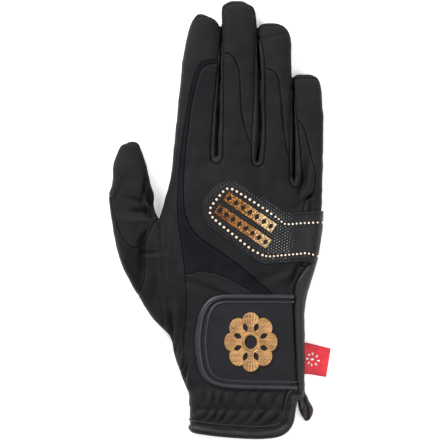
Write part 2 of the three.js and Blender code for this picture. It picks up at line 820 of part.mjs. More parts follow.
function petalHole(centre, turn) {
  const shape = [
    { out: 0.38, side: 0 },
    { out: 0.55, side: 0.085 },
    { out: 0.68, side: 0 },
    { out: 0.55, side: -0.085 },
  ];
  return shape.map((p) => {
    const x = Math.sin(turn) * p.out + Math.cos(turn) * p.side;
    const y = Math.cos(turn) * p.out - Math.sin(turn) * p.side;
    return new THREE.Vector2(centre.x + x * rosetteRadius, centre.y + y * rosetteRadius * 1.12);
  });
}

function patchPieces() {
  const cover = layer(patchLevel, patchTop).intersect(slab(backEdge, 60));
  const pieces = { knuckle_patch: cover.intersect(prism(line(patchOutline))) };
  for (const row of glitterLines) {
    pieces[row.name] = glitterRow(row);
  }
  pieces.crystal_trim = crystalTrim();
  return pieces;
}

// Flat gold band with a row of lozenge openings.
function glitterRow(row) {
  const start = spot(row.startAcross, row.startAlong);
  const end = spot(row.endAcross, row.endAlong);
  const run = end.clone().sub(start);
  const along = run.clone().normalize();
  const side = new THREE.Vector2(-along.y, along.x);
  const place = (share, out) => start.clone().addScaledVector(run, share)
    .addScaledVector(side, out * glitterRowWidth / 2);
  let band = prism([place(0, -1), place(1, -1), place(1, 1), place(0, 1)]);
  const step = 1 / row.lozenges;
  for (let i = 0; i < row.lozenges; i++) {
    const middle = (i + 0.5) * step;
    band = band.subtract(prism([
      place(middle - step * 0.30, 0),
      place(middle, -0.62),
      place(middle + step * 0.30, 0),
      place(middle, 0.62),
    ]));
  }
  return layer(trimLevel, trimLevel + glitterThickness).intersect(band);
}

// String of stones: a thin strip with faceted stones set along it.
function crystalTrim() {
  const path = new THREE.SplineCurve(line(stoneLine));
  const points = path.getPoints(26);
  const band = prism([
    ...shift(points, trimWidth / 2, false),
    ...shift(points, -trimWidth / 2, false).reverse(),
  ], backEdge);
  const strip = layer(trimLevel, trimLevel + trimThickness).intersect(band);
  const count = Math.round(path.getLength() / stonePitch);
  const base = skinMesh(trimLevel + trimThickness);
  const stones = [];
  for (let i = 0; i < count; i++) {
    const place = path.getPointAt((i + 0.5) / count);
    stones.push(stone(base, place));
  }
  return union([strip, ...stones]);
}

function skinMesh(offset) {
  const mesh = glove(offset).getMesh();
  const geometry = new THREE.BufferGeometry();
  geometry.setAttribute('position', new THREE.BufferAttribute(mesh.vertProperties, 3));
  geometry.setIndex(new THREE.BufferAttribute(mesh.triVerts, 1));
  return new THREE.Mesh(geometry, new THREE.MeshBasicMaterial());
}

// Highest point of the skin under a place in plan, with the direction it faces.
function surfaceAt(skin, place) {
  const ray = new THREE.Raycaster(
    new THREE.Vector3(place.x, place.y, 100), new THREE.Vector3(0, 0, -1));
  const hit = ray.intersectObject(skin)[0];
  return { point: hit.point, normal: hit.face.normal };
}

function stone(skin, place) {
  const { point, normal } = surfaceAt(skin, place);
  const geometry = cutStone();
  const turn = new THREE.Quaternion().setFromUnitVectors(new THREE.Vector3(0, 0, 1), normal);
  geometry.applyQuaternion(turn);
  geometry.translate(point.x, point.y, point.z);
  return toSolid(geometry);
}

// Eight-sided girdle below, square table on top, twelve facets between them.
function cutStone() {
  const girdle = [];
  for (let i = 0; i < 8; i++) {
    const turn = (i + 0.5) * Math.PI / 4;
    girdle.push(new THREE.Vector3(Math.cos(turn), Math.sin(turn), 0)
      .multiplyScalar(stoneWidth / 2).setZ(-trimThickness / 2));
  }
  const table = [];
  for (let i = 0; i < 4; i++) {
    const turn = (i + 0.5) * Math.PI / 2;
    table.push(new THREE.Vector3(Math.cos(turn), Math.sin(turn), 0)
      .multiplyScalar(stoneWidth * 0.3).setZ(stoneHeight));
  }
  const faces = [8, 9, 10, 8, 10, 11];
  for (let i = 0; i < 4; i++) {
    const a = i * 2;
    const b = a + 1;
    const next = (a + 2) % 8;
    faces.push(a, b, 8 + i, b, next, 8 + (i + 1) % 4, b, 8 + (i + 1) % 4, 8 + i);
  }
  for (let i = 1; i < 7; i++) {
    faces.push(0, i + 1, i);
  }
  const geometry = new THREE.BufferGeometry().setFromPoints([...girdle, ...table]);
  geometry.setIndex(faces);
  return geometry;
}

// Woven label out of the side seam, drooping to the surface.
function sideLabel() {
  const rings = labelRows.map((row, i) => {
    const low = palmEdge - labelThickness - 0.2 - labelDroop * i;
    return [
      [row.bottom, low],
      [row.top, low],
      [row.top, low + labelThickness],
      [row.bottom, low + labelThickness],
    ].map(([along, height]) => {
      const place = spot(row.across, along);
      return new THREE.Vector3(place.x, place.y, Math.max(height, 0));
    });
  });
  return outward(loftGeometry(rings));
}

// Soft end of the palm leather below the roll.
function hemLobe() {
  const rings = lobeRows.map((row) => {
    const left = spot(row.left, row.along);
    const right = spot(row.right, row.along);
    return lobeProfile.map((p) => {
      const place = left.clone().lerp(right, (p.across + 1) / 2);
      return new THREE.Vector3(place.x, place.y, p.up * row.high * lobeThickness);
    });
  });
  return outward(loftGeometry(rings.reverse()));
}

// Turns the faces round if the skin came out facing inwards.
function outward(geometry) {
  const place = geometry.attributes.position;
  const index = geometry.index.array;
  const corner = [0, 1, 2].map(() => new THREE.Vector3());
  let volume = 0;
  for (let i = 0; i < index.length; i += 3) {
    corner.forEach((v, k) => v.fromBufferAttribute(place, index[i + k]));
    volume += corner[0].dot(corner[1].clone().cross(corner[2]));
  }
  if (volume < 0) {
    geometry.setIndex([...index].reverse());
  }
  return toSolid(geometry);
}

// Colours and finishes.
const finishes = {
  cloth: { color: 0x2b2c2e, roughness: 0.72, metalness: 0 },
  cloth_soft: { color: 0x2a2a2c, roughness: 0.75, metalness: 0 },
  stretch: { color: 0x232227, roughness: 0.85, metalness: 0 },
  suede: { color: 0x29292b, roughness: 0.9, metalness: 0 },
  ridge: { color: 0x39393c, roughness: 0.6, metalness: 0 },
  cuff: { color: 0x2c2b30, roughness: 0.7, metalness: 0 },
  binding: { color: 0x424146, roughness: 0.35, metalness: 0 },
  tab: { color: 0x302f34, roughness: 0.6, metalness: 0 },
  gold: { color: 0xc89664, roughness: 0.35, metalness: 0.7 },
  glitter: { color: 0xa87a4c, roughness: 0.45, metalness: 0.6 },
  patch: { color: 0x2c2c2f, roughness: 0.55, metalness: 0 },
  crystal: { color: 0xf0dcbc, roughness: 0.08, metalness: 0.3 },
  lobe: { color: 0x3a2c26, roughness: 0.7, metalness: 0 },
  label: { color: 0xe03a45, roughness: 0.6, metalness: 0 },
};

const finishOf = {
  palm_panel: 'suede',
  back_panel: 'cloth',
  flex_strip: 'stretch',
  index_panel: 'cloth_soft',
  middle_panel: 'cloth_soft',
  ring_panel: 'cloth_soft',
  little_panel: 'cloth_soft',
  fourchette_index_middle: 'ridge',
  fourchette_middle_ring: 'ridge',
  fourchette_ring_little: 'ridge',
  thumb_back: 'cloth_soft',
  thumb_palm: 'suede',
  wrist_panel: 'cuff',
  hem_binding: 'binding',
  side_roll: 'suede',
  closure_tab: 'tab',
  tab_binding: 'binding',
  tab_rosette: 'gold',
  knuckle_patch: 'patch',
  glitter_row_upper: 'glitter',
  glitter_row_lower: 'glitter',
  crystal_trim: 'crystal',
  hem_lobe: 'lobe',
  side_label: 'label',
};

function toMesh(name, solid) {
  const source = solid.getMesh();
  const geometry = new THREE.BufferGeometry();
  geometry.setAttribute('position', new THREE.BufferAttribute(source.vertProperties, 3));
  geometry.setIndex(new THREE.BufferAttribute(source.triVerts, 1));
  geometry.computeVertexNormals();
  const mesh = new THREE.Mesh(geometry, new THREE.MeshStandardMaterial(finishes[finishOf[name]]));
  mesh.name = name;
  return mesh;
}

function build() {
  const pieces = {
    ...shellPieces(),
    ...raisedGussets(),
    side_roll: sideRoll(),
    hem_binding: hemBinding(),
    ...tabPieces(),
    ...patchPieces(),
    hem_lobe: hemLobe(),
    side_label: sideLabel(),
  };
  const group = new THREE.Group();
  for (const name of Object.keys(finishOf)) {
    group.add(toMesh(name, pieces[name]));
  }
  const box = new THREE.Box3().setFromObject(group);
  const middle = box.getCenter(new THREE.Vector3());
  for (const mesh of group.children) {
    mesh.geometry.translate(-middle.x, -middle.y, -box.min.z);
  }
  return group;
}

const group = build();
export default group;
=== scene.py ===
import bpy
import numpy as np
from math import pi
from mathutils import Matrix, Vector
from mathutils.bvhtree import BVHTree
from mathutils.kdtree import KDTree


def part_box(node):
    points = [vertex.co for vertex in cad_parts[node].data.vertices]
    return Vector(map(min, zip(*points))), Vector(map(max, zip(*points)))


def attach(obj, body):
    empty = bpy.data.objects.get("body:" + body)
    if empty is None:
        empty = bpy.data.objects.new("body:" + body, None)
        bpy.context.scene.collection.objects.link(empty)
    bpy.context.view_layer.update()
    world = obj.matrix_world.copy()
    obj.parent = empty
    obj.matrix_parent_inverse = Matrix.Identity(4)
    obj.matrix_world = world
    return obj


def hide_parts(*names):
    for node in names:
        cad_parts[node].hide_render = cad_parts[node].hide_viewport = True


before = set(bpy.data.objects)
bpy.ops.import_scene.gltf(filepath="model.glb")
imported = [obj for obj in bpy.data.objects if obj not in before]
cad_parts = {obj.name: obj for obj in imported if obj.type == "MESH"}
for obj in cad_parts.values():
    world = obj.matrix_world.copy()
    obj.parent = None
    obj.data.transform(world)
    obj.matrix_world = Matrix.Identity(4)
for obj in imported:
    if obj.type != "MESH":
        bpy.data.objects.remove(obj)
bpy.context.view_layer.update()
print("frame loaded:", len(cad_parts), "nodes")

# Everything below is worked out in millimetres and turned to metres when a mesh is made.
# Tables give places as shares: across of half the palm width, along of the glove length.
glove = {
    "length": 240.0, "halfPalm": 42.5, "palmHeight": 15.5, "cuffHeight": 14.0,
    "seamHeight": 3.4, "tipClimb": 4.2, "wall": 0.9, "ease": 0.35,
    "voxel": 0.8,
}
overHead = 60.0  # rays on to the glove start here
pathStep = 0.9
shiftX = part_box("side_label")[1].x * 1000 - 1.113 * glove["halfPalm"]
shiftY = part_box("middle_panel")[1].y * 1000 - 0.633 * glove["length"] - 88.6


def place(points):
    return np.array(points, float) * (glove["halfPalm"], glove["length"]) + (shiftX, shiftY)


def unit(vectors):
    return vectors / np.maximum(np.linalg.norm(vectors, axis=-1, keepdims=True), 1e-12)


def linked(name, data):
    obj = bpy.data.objects.new(name, data)
    bpy.context.scene.collection.objects.link(obj)
    return obj


# Four-sided faces between neighbouring rings of points; the last ring may meet the first.
def ringFaces(rings, size, joined=False):
    faces = []
    for r in range(rings if joined else rings - 1):
        n = (r + 1) % rings
        for i in range(size):
            j = (i + 1) % size
            faces.append((r * size + i, r * size + j, n * size + j, n * size + i))
    return faces


def inTriangles(faces):
    return [half for a, b, c, d in faces for half in ((a, b, c), (a, c, d))]


def spline(points, steps=6):
    p = np.array(points, float)
    t = np.linspace(0, len(p) - 1, (len(p) - 1) * steps + 1)
    i = np.minimum(t.astype(int), len(p) - 2)
    w = (t - i)[:, None]
    a, b, c, d = (p[np.clip(i + k, 0, len(p) - 1)] for k in (-1, 0, 1, 2))
    return b + 0.5 * w * (c - a + w * (2 * a - 5 * b + 4 * c - d + w * (3 * (b - c) + d - a)))


# Form of the glove.
# Half cross-sections from the middle of the underside round to the middle of the back:
# across share, and level (0 floor, 1 palm seam, 2 top).
tubeProfile = [(0, 0), (0.45, 0), (0.84, 0.02), (0.98, 0.45), (1.0, 1.0), (0.965, 1.40),
               (0.85, 1.76), (0.52, 1.95), (0, 2)]
handProfile = [(0, 0), (0.60, 0), (0.93, 0.02), (0.995, 0.5), (1.0, 1.0), (0.985, 1.45),
               (0.92, 1.76), (0.76, 1.92), (0.40, 1.985), (0, 2)]
# along, left, right, high, tilt (right end lower), bow (middle pushed up)
handRows = [
    (0.108, -0.74, 0.735, 0.82, 0, 0), (0.150, -0.83, 0.735, 0.84, 0, 0),
    (0.192, -0.91, 0.735, 0.86, 0, 0), (0.235, -0.97, 0.735, 0.88, 0, 0),
    (0.314, -1.21, 0.748, 0.92, 0, 0), (0.405, -1.27, 0.895, 0.97, 0, 0),
    (0.456, -1.20, 0.948, 1.00, 0, 0), (0.490, -1.118, 0.968, 1.00, 0.014, 0),
    (0.520, -1.045, 0.972, 0.98, 0.041, 0.014), (0.549, -0.98, 0.98, 0.93, 0.066, 0.030),
    (0.575, -0.95, 0.990, 0.83, 0.072, 0.041), (0.590, -0.94, 0.990, 0.66, 0.076, 0.046),
]
# along, left, right, high
cuffRows = [
    (0.121, -0.762, 0.735, 0.92), (0.105, -0.735, 0.720, 0.95), (0.089, -0.714, 0.704, 0.98),
    (0.073, -0.712, 0.692, 0.95), (0.057, -0.712, 0.680, 0.94), (0.041, -0.708, 0.664, 0.91),
    (0.027, -0.701, 0.645, 0.88), (-0.022, -0.692, 0.600, 0.88),
]
# Root, length, width, height and lean of each finger; rows of along, left, right, high
# as shares of its length, half width and height.
fingers = {
    "index": {"root": (-0.650, 0.637), "size": (80.6, 20.5, 12.0), "lean": 0.26, "rows": [
        (-0.27, -0.97, 1.01, 0.95), (0.00, -1.16, 1.17, 1.06), (0.28, -1.10, 1.06, 1.00),
        (0.48, -1.05, 1.02, 0.99), (0.69, -0.99, 0.99, 0.98), (0.81, -0.88, 0.96, 0.93),
        (0.89, -0.77, 0.90, 0.86), (0.95, -0.63, 0.62, 0.76), (0.98, -0.48, 0.20, 0.60),
        (1.00, -0.36, -0.12, 0.38)]},
    "middle": {"root": (-0.108, 0.633), "size": (88.6, 20.0, 12.0), "lean": 0.06, "rows": [
        (-0.23, -0.94, 0.98, 0.95), (0.00, -1.10, 1.12, 1.06), (0.27, -1.00, 1.15, 1.00),
        (0.46, -0.96, 1.09, 0.99), (0.64, -0.93, 1.04, 0.98), (0.83, -0.90, 0.97, 0.93),
        (0.90, -0.91, 0.92, 0.86), (0.96, -0.90, 0.79, 0.74), (0.98, -0.78, 0.54, 0.58),
        (1.00, -0.42, 0.20, 0.38)]},
    "ring": {"root": (0.382, 0.612), "size": (81.4, 17.6, 12.0), "lean": -0.03, "rows": [
        (-0.26, -0.92, 0.89, 0.95), (0.00, -1.09, 1.07, 1.06), (0.35, -0.88, 1.10, 1.00),
        (0.56, -0.89, 1.08, 0.99), (0.76, -0.91, 1.05, 0.98), (0.88, -0.95, 1.05, 0.93),
        (0.93, -0.98, 0.95, 0.84), (0.97, -0.93, 0.72, 0.72), (0.99, -0.80, 0.42, 0.56),
        (1.00, -0.50, 0.05, 0.38)]},
    "little": {"root": (0.812, 0.580), "size": (60.8, 15.0, 11.4), "lean": -0.05, "rows": [
        (-0.31, -0.67, 0.87, 0.95), (-0.02, -1.02, 1.03, 1.06), (0.33, -0.96, 1.11, 1.00),
        (0.60, -0.94, 1.17, 1.00), (0.74, -0.97, 1.09, 0.97), (0.85, -0.99, 1.05, 0.90),
        (0.92, -1.02, 0.96, 0.80), (0.97, -0.96, 0.77, 0.62), (1.00, -0.66, 0.33, 0.38)]},
    "thumb": {"root": (-0.971, 0.250), "size": (103.0, 24.0, 14.5), "lean": -0.88, "rows": [
        (-0.04, 0.02, 0.66, 0.50), (0.06, -0.69, 1.30, 0.86), (0.16, -1.06, 1.38, 0.95),
        (0.25, -1.36, 1.35, 0.98), (0.35, -1.60, 1.30, 1.00), (0.45, -1.67, 1.08, 1.00),
        (0.53, -1.66, 0.76, 0.98), (0.60, -1.63, 0.44, 0.93), (0.66, -1.60, 0.38, 0.86),
        (0.72, -1.54, 0.50, 0.90), (0.78, -1.26, 0.44, 0.90), (0.88, -1.04, 0.42, 0.85),
        (0.97, -0.58, 0.30, 0.64), (0.99, -0.25, 0.26, 0.48), (1.00, -0.09, 0.14, 0.34)]},
}


# Closed tube: rows are leftX, leftY, rightX, rightY, bow, height in millimetres.
def tube(rows, profile, steps):
    rows = spline(rows, steps)
    half = spline(profile, 4)
    other = half[1:-1][::-1] * (-1, 1)
    s, level = np.vstack([half, other]).T
    left, right, bow, high = rows[:, None, 0:2], rows[:, None, 2:4], rows[:, 4:5], rows[:, 5:6]
    xy = left + (right - left) * ((s[None, :, None] + 1) / 2)
    xy[:, :, 1] += bow * (1 - s ** 2)
    seam = np.minimum(glove["seamHeight"], high * 0.6)
    z = np.where(level < 1, level * seam, seam + (level - 1) * (high - seam))
    co = np.dstack([xy, z])
    count, size = co.shape[:2]
    faces = ringFaces(count, size)
    co = np.vstack([co.reshape(-1, 3), co[0].mean(0), co[-1].mean(0)])
    for end, first in ((count * size, 0), (count * size + 1, (count - 1) * size)):
        for i in range(size):
            faces.append((first + i, first + (i + 1) % size, end))
    return co, faces


def handTube():
    rows = []
    for along, left, right, high, tilt, bow in handRows:
        a, b = place([(left, along + tilt / 2), (right, along - tilt / 2)])
        rows.append((*a, *b, bow * glove["length"], high * glove["palmHeight"]))
    return tube(rows, handProfile, 6)


def cuffTube():
    rows = []
    for along, left, right, high in cuffRows:
        a, b = place([(left, along), (right, along)])
        rows.append((*a, *b, 0, high * glove["cuffHeight"]))
    return tube(rows, handProfile, 4)


def fingerTube(finger):
    rootX, rootY = place(finger["root"])
    length, width, height = finger["size"]
    rows = []
    for along, left, right, high in finger["rows"]:
        x = rootX + finger["lean"] * width * along
        y = rootY + along * length
        rows.append((x + left * width / 2, y, x + right * width / 2, y, 0, high * height))
    return tube(rows, tubeProfile, 6)


def tempObject(co, faces):
    mesh = bpy.data.meshes.new("draft")
    mesh.from_pydata([tuple(p) for p in co], [], [tuple(f) for f in faces])
    return linked("draft", mesh)


def meshArrays(mesh):
    co = np.zeros(len(mesh.vertices) * 3)
    mesh.vertices.foreach_get("co", co)
    mesh.calc_loop_triangles()
    tri = np.zeros(len(mesh.loop_triangles) * 3, int)
    mesh.loop_triangles.foreach_get("vertices", tri)
    return co.reshape(-1, 3), tri.reshape(-1, 3)


def evaluatedArrays(obj):
    graph = bpy.context.evaluated_depsgraph_get()
    mesh = bpy.data.meshes.new_from_object(obj.evaluated_get(graph))
    arrays = meshArrays(mesh)
    bpy.data.meshes.remove(mesh)
    bpy.data.objects.remove(obj)
    return arrays


def remeshed(parts, size):
    co, faces, start = [], [], 0
    for points, polygons in parts:
        co.append(points)
        faces += [tuple(i + start for i in f) for f in polygons]
        start += len(points)
    obj = tempObject(np.vstack(co), faces)
    voxels = obj.modifiers.new("voxels", "REMESH")
    voxels.mode = "VOXEL"
    voxels.voxel_size = size
    return evaluatedArrays(obj)


def edgesOf(tri):
    pairs = np.sort(np.vstack([tri[:, [0, 1]], tri[:, [1, 2]], tri[:, [2, 0]]]), axis=1)
    return np.unique(pairs, axis=0)


def smoothStep(co, edges, amount):
    total = np.zeros_like(co)
    a, b = edges.T
    count = np.bincount(np.concatenate([a, b]), minlength=len(co))[:, None]
    for k in range(3):
        total[:, k] = np.bincount(a, co[b, k], len(co)) + np.bincount(b, co[a, k], len(co))
    return co + (total / np.maximum(count, 1) - co) * amount


# Smoothing that keeps the volume, then plain smoothing where the mask says.
def relaxed(co, tri, rounds, mask, maskRounds):
    edges = edgesOf(tri)
    for _ in range(rounds):
        co = smoothStep(co, edges, 0.55)
        co = smoothStep(co, edges, -0.57)
    for _ in range(maskRounds):
        co = smoothStep(co, edges, mask[:, None] * 0.6)
    return co


def normalsOf(co, tri):
    a, b, c = co[tri[:, 0]], co[tri[:, 1]], co[tri[:, 2]]
    face = np.cross(b - a, c - a)
    out = np.zeros_like(co)
    for k in range(3):
        for corner in range(3):
            out[:, k] += np.bincount(tri[:, corner], face[:, k], len(co))
    return unit(out)


# Smooth noise from a few fixed waves, the same on every run.
def waves(co, size, seed):
    random = np.random.default_rng(seed)
    total = np.zeros(len(co))
    for _ in range(7):
        direction = random.normal(size=3)
        direction *= 2 * pi / (size * random.uniform(0.7, 1.6) * np.linalg.norm(direction))
        total += np.sin(co @ direction + random.uniform(0, 2 * pi))
    return total / 7 ** 0.5


# Folds and dents of the cloth: middle x and y, turn in degrees, half length, half width,
# height (a dent is below zero). Millimetres in the glove's own frame.
folds = [
    (-38.6, 6.1, -57, 5.0, 0.8, 1.2), (-38.0, 10.5, -72, 6.5, 1.3, -2.6),
    (-39.8, 4.0, -50, 4.0, 1.4, -3.0), (-45.0, 4.8, 2, 4.5, 1.0, -1.6),
    (-42.5, -0.4, 0, 6.5, 1.3, 1.2), (-46.0, 7.8, -10, 5.0, 1.5, 0.9),
    (-45.5, 10.8, -14, 6.0, 1.3, -0.9), (-41.5, 17.0, 80, 8.0, 1.1, -1.3),
    (-39.3, 20.0, 84, 9.0, 0.9, 0.6), (-42.4, -10.0, 58, 6.0, 1.3, -1.9),
    (-42.8, -16.0, 80, 7.0, 1.7, -2.2), (-43.2, -26.0, 84, 9.0, 1.7, -1.9),
    (-39.0, -18.2, 4, 5.0, 0.8, -1.2), (-38.5, -20.5, 2, 5.0, 1.0, 0.7),
    (-52.0, -11.0, -58, 9.0, 1.5, 0.7), (-47.5, -30.0, -60, 9.0, 1.6, -0.9),
    (-32.7, -6.0, 90, 10.0, 0.6, -0.6), (-29.4, -10.0, 90, 12.0, 0.6, -0.6),
    (-33.5, -27.0, 92, 11.0, 1.5, 0.9), (-28.3, -24.0, 90, 14.0, 1.4, 0.7),
    (-36.4, -39.0, 82, 10.0, 2.8, -1.3), (-31.6, -50.5, 104, 9.0, 1.0, -1.0),
    (-29.6, -55.0, 100, 9.0, 1.1, 1.0), (-26.8, -59.0, 99, 12.0, 1.0, -1.8),
    (-24.0, -52.0, 93, 10.0, 1.2, 0.8), (-20.0, -55.0, 88, 14.0, 1.9, -1.2),
    (-26.5, -74.0, 72, 10.0, 1.3, 0.9), (-24.3, -70.0, 78, 10.0, 1.1, -1.2),
    (-21.5, -80.0, 80, 10.0, 1.1, 0.8), (-20.0, -88.0, 74, 9.0, 1.2, -1.4),
    (-23.2, -90.0, 66, 6.0, 1.0, 0.9), (-16.5, -82.0, 84, 10.0, 1.1, 0.8),
    (45.5, 22.5, 78, 9.0, 1.9, -2.5), (49.5, 24.0, 82, 10.0, 1.5, 0.8),
    (48.3, 12.3, 35, 4.0, 1.0, -2.0), (49.6, 7.0, 90, 5.0, 0.9, -1.3),
    (43.0, 8.0, 12, 6.0, 1.1, -0.8),
    (41.0, -29.0, 64, 7.0, 1.4, -2.0), (36.0, -31.0, 30, 8.0, 2.0, 0.9),
    (27.0, -30.5, 18, 12.0, 2.2, -0.7), (4.0, -31.0, -34, 16.0, 2.2, 0.5),
    (-6.0, -38.0, -20, 12.0, 1.8, -0.7), (6.0, -40.5, -24, 12.0, 1.6, 0.5),
    (-20.0, 14.0, 72, 20.0, 2.6, 0.45), (6.0, 22.0, 86, 14.0, 2.4, 0.35),
    (31.0, 26.0, 84, 14.0, 2.2, -0.45), (34.5, 58.0, 88, 22.0, 1.2, -0.45),
    (12.5, 60.0, 86, 16.0, 1.2, -0.35), (-19.0, 96.0, 74, 8.0, 1.4, -0.5),
    (-9.5, 84.0, 20, 6.0, 1.3, -0.35), (8.0, 112.0, -35, 4.0, 0.9, -0.6),
    (30.5, 101.0, 10, 5.0, 0.9, -0.5), (-56.0, 15.0, 66, 8.0, 1.4, -0.8),
]


def foldHeight(co):
    total = np.zeros(len(co))
    for x, y, turn, length, width, height in folds:
        c, s = np.cos(np.radians(turn)), np.sin(np.radians(turn))
        dx, dy = co[:, 0] - x, co[:, 1] - y
        along, side = dx * c + dy * s, dy * c - dx * s
        total += height * np.exp(-(along / length) ** 2 - (side / width) ** 2)
    return total


# Elastic gathers of the cuff: two bands of slanted ripples between three pulled-in rows.
gathers = {"pitch": 6.6, "height": 2.4, "rows": (0.114, 0.068, 0.034)}


def gatherHeight(co):
    along = (co[:, 1] - shiftY) / glove["length"]
    top, middle, low = gathers["rows"]
    low = low + 0.012 * np.clip(-co[:, 0] / 20, 0, 1)
    upper = np.clip((along - middle) / (top - middle), 0, 1)
    lower = np.clip((along - low) / (middle - low), 0, 1)
    swell = np.where(along > middle, np.sin(pi * upper), np.sin(pi * lower)) ** 0.8
    swell[(along > top) | (along < low)] = 0
    step = np.where(along > middle, 0, 0.45 * gathers["pitch"])
    lean = np.where(along > middle, 0.25, 0.75)
    phase = (co[:, 0] + step - lean * (co[:, 1] - shiftY)) * 2 * pi / gathers["pitch"]
    phase += 1.1 * np.sin(co[:, 0] / 6.1) + 0.8 * np.sin(co[:, 0] / 3.3 + 1)
    ripple = np.abs(np.cos(phase / 2)) ** 0.8  # round puffs with sharp creases between
    size = gathers["height"] * (0.75 + 0.25 * np.sin(co[:, 0] / 4.3 + 2))
    pulled = -0.45 * np.exp(-((along - middle) * glove["length"] / 1.1) ** 2)
    return swell * (ripple - 0.62) * size + pulled * (along < top)


def tipMask(co):
    mask = np.zeros(len(co))
    for finger in fingers.values():
        rootX, rootY = place(finger["root"])
        length, width, _ = finger["size"]
        below = rootY + length - co[:, 1]
        beside = np.abs(co[:, 0] - rootX - finger["lean"] * width)
        mask += np.clip(1 - below / 8, 0, 1) ** 0.5 * (beside < width * 0.72)
    return np.clip(mask, 0, 1)


# Where the skin is smoothed more (middle, reach), how high its folds and gathers begin, and
# its fine unevenness: height, size, seed.
drape = {
    "rounds": 8, "softRounds": 14, "knuckles": (0.585, 0.045), "wrist": (0.115, 0.02),
    "ballMiddle": (-40, -38), "ballReach": (9, 22), "foldsFrom": 4.5, "gathersFrom": 2.0,
    "pucker": (0.10, 9.0, 3), "slack": (0.16, 14.0, 5), "hemRoom": 0.8,
}


def buildSkin():
    parts = [handTube(), cuffTube()] + [fingerTube(f) for f in fingers.values()]
    co, tri = remeshed(parts, glove["voxel"])
    a, b, c = co[tri[:, 0]], co[tri[:, 1]], co[tri[:, 2]]
    if np.einsum("ij,ij->i", a, np.cross(b, c)).sum() < 0:
        tri = tri[:, ::-1]
    along = (co[:, 1] - shiftY) / glove["length"]
    soft = np.exp(-(((co[:, :2] - drape["ballMiddle"]) / drape["ballReach"]) ** 2).sum(1))
    for middle, reach in (drape["knuckles"], drape["wrist"]):
        soft += np.exp(-((along - middle) / reach) ** 2)
    co = relaxed(co, tri, drape["rounds"], np.clip(soft, 0, 1), drape["softRounds"])
    normal = normalsOf(co, tri)
    rest = co + normal * (glove["ease"], glove["ease"], 0)
    upper = np.clip((co[:, 2] - drape["foldsFrom"]) / 2.5, 0, 1)
    upper *= np.clip(normal[:, 2] * 1.6, 0, 1)
    lift = foldHeight(co) * upper
    lift += gatherHeight(co) * np.clip((co[:, 2] - drape["gathersFrom"]) / 2.5, 0, 1)
    high, size, seed = drape["pucker"]
    lift += high * waves(co, size, seed) * np.clip((co[:, 2] - 1.0) / 3, 0, 1)
    high, size, seed = drape["slack"]
    lift += high * waves(co * (1, 0.35, 1), size, seed) * upper
    co = co + normal * (lift + glove["ease"])[:, None]
    # room for the binding below the hem
    floorLevel = drape["hemRoom"] * np.clip((0.05 - along) / 0.03, 0, 1)
    co[:, 2] = np.maximum(co[:, 2], floorLevel)
    rest[:, 2] = np.maximum(rest[:, 2], floorLevel)
    return np.hstack([co, rest, normal, lift[:, None]]), tri


skin, skinTri = buildSkin()
print("skin:", len(skinTri), "triangles")

# Seam lines: across, along.
seams = {
    "shield": [(-0.335, 0.858), (-0.470, 0.856), (-0.569, 0.843), (-0.634, 0.811),
               (-0.699, 0.760), (-0.738, 0.708), (-0.770, 0.662), (-0.793, 0.605),
               (-0.793, 0.548), (-0.764, 0.508), (-0.664, 0.473), (-0.518, 0.450),
               (-0.324, 0.427), (-0.065, 0.393), (0.162, 0.359), (0.298, 0.338),
               (0.580, 0.290)],
    "index": [(-0.310, 0.866), (-0.479, 0.865), (-0.582, 0.855), (-0.664, 0.825),
              (-0.731, 0.772), (-0.795, 0.708), (-0.840, 0.651), (-0.867, 0.594),
              (-0.874, 0.519), (-0.835, 0.462), (-0.793, 0.404), (-0.764, 0.347),
              (-0.768, 0.280), (-0.798, 0.236), (-0.795, 0.176), (-0.880, 0.140)],
    "middle": [(-0.336, 0.880), (-0.272, 0.882), (-0.188, 0.878), (-0.124, 0.862),
               (-0.078, 0.839), (-0.065, 0.802), (-0.052, 0.756), (-0.013, 0.717),
               (0.052, 0.681), (0.124, 0.655)],
    "ring": [(0.168, 0.842), (0.259, 0.846), (0.336, 0.843), (0.388, 0.835),
             (0.434, 0.818), (0.459, 0.777), (0.492, 0.720), (0.531, 0.667),
             (0.625, 0.617)],
    "little": [(0.621, 0.736), (0.673, 0.728), (0.751, 0.711), (0.800, 0.683),
               (0.848, 0.646), (0.896, 0.615), (0.905, 0.584), (0.870, 0.563),
               (0.795, 0.548), (0.751, 0.530), (0.725, 0.490), (0.725, 0.395)],
    "wrist": [(-0.950, 0.372), (-0.712, 0.378), (-0.582, 0.383), (-0.356, 0.377),
              (-0.129, 0.359), (0.065, 0.339), (0.220, 0.320), (0.450, 0.310),
              (0.950, 0.310)],
    "thumb": [(-1.876, 0.557), (-1.745, 0.553), (-1.718, 0.529), (-1.637, 0.484),
              (-1.558, 0.456), (-1.475, 0.441), (-1.411, 0.437), (-1.346, 0.442),
              (-1.281, 0.454), (-1.229, 0.474), (-1.178, 0.493), (-1.125, 0.503)],
    "thumbSide": [(-1.400, 0.695), (-1.335, 0.650), (-1.287, 0.605), (-1.300, 0.582),
                  (-1.274, 0.548), (-1.215, 0.520), (-1.165, 0.490)],
    "web": [(-1.090, 0.500), (-1.080, 0.470), (-1.074, 0.440), (-1.048, 0.399),
            (-1.035, 0.350)],
    "palmCrease": [(-1.365, 0.436), (-1.320, 0.425), (-1.288, 0.408), (-1.297, 0.376),
                   (-1.326, 0.353), (-1.420, 0.320)],
    "hem": [(-0.971, 0.020), (-0.699, 0.013), (-0.272, 0.004), (0.116, 0), (0.298, 0.001),
            (0.440, 0.005), (0.530, 0.0125), (0.592, 0.0225), (0.636, 0.039),
            (0.659, 0.062), (0.674, 0.081), (0.700, 0.098)],
    "roll": [(0.850, 0.405), (0.712, 0.376), (0.638, 0.349), (0.620, 0.309),
             (0.632, 0.245), (0.652, 0.181), (0.668, 0.108)],
}
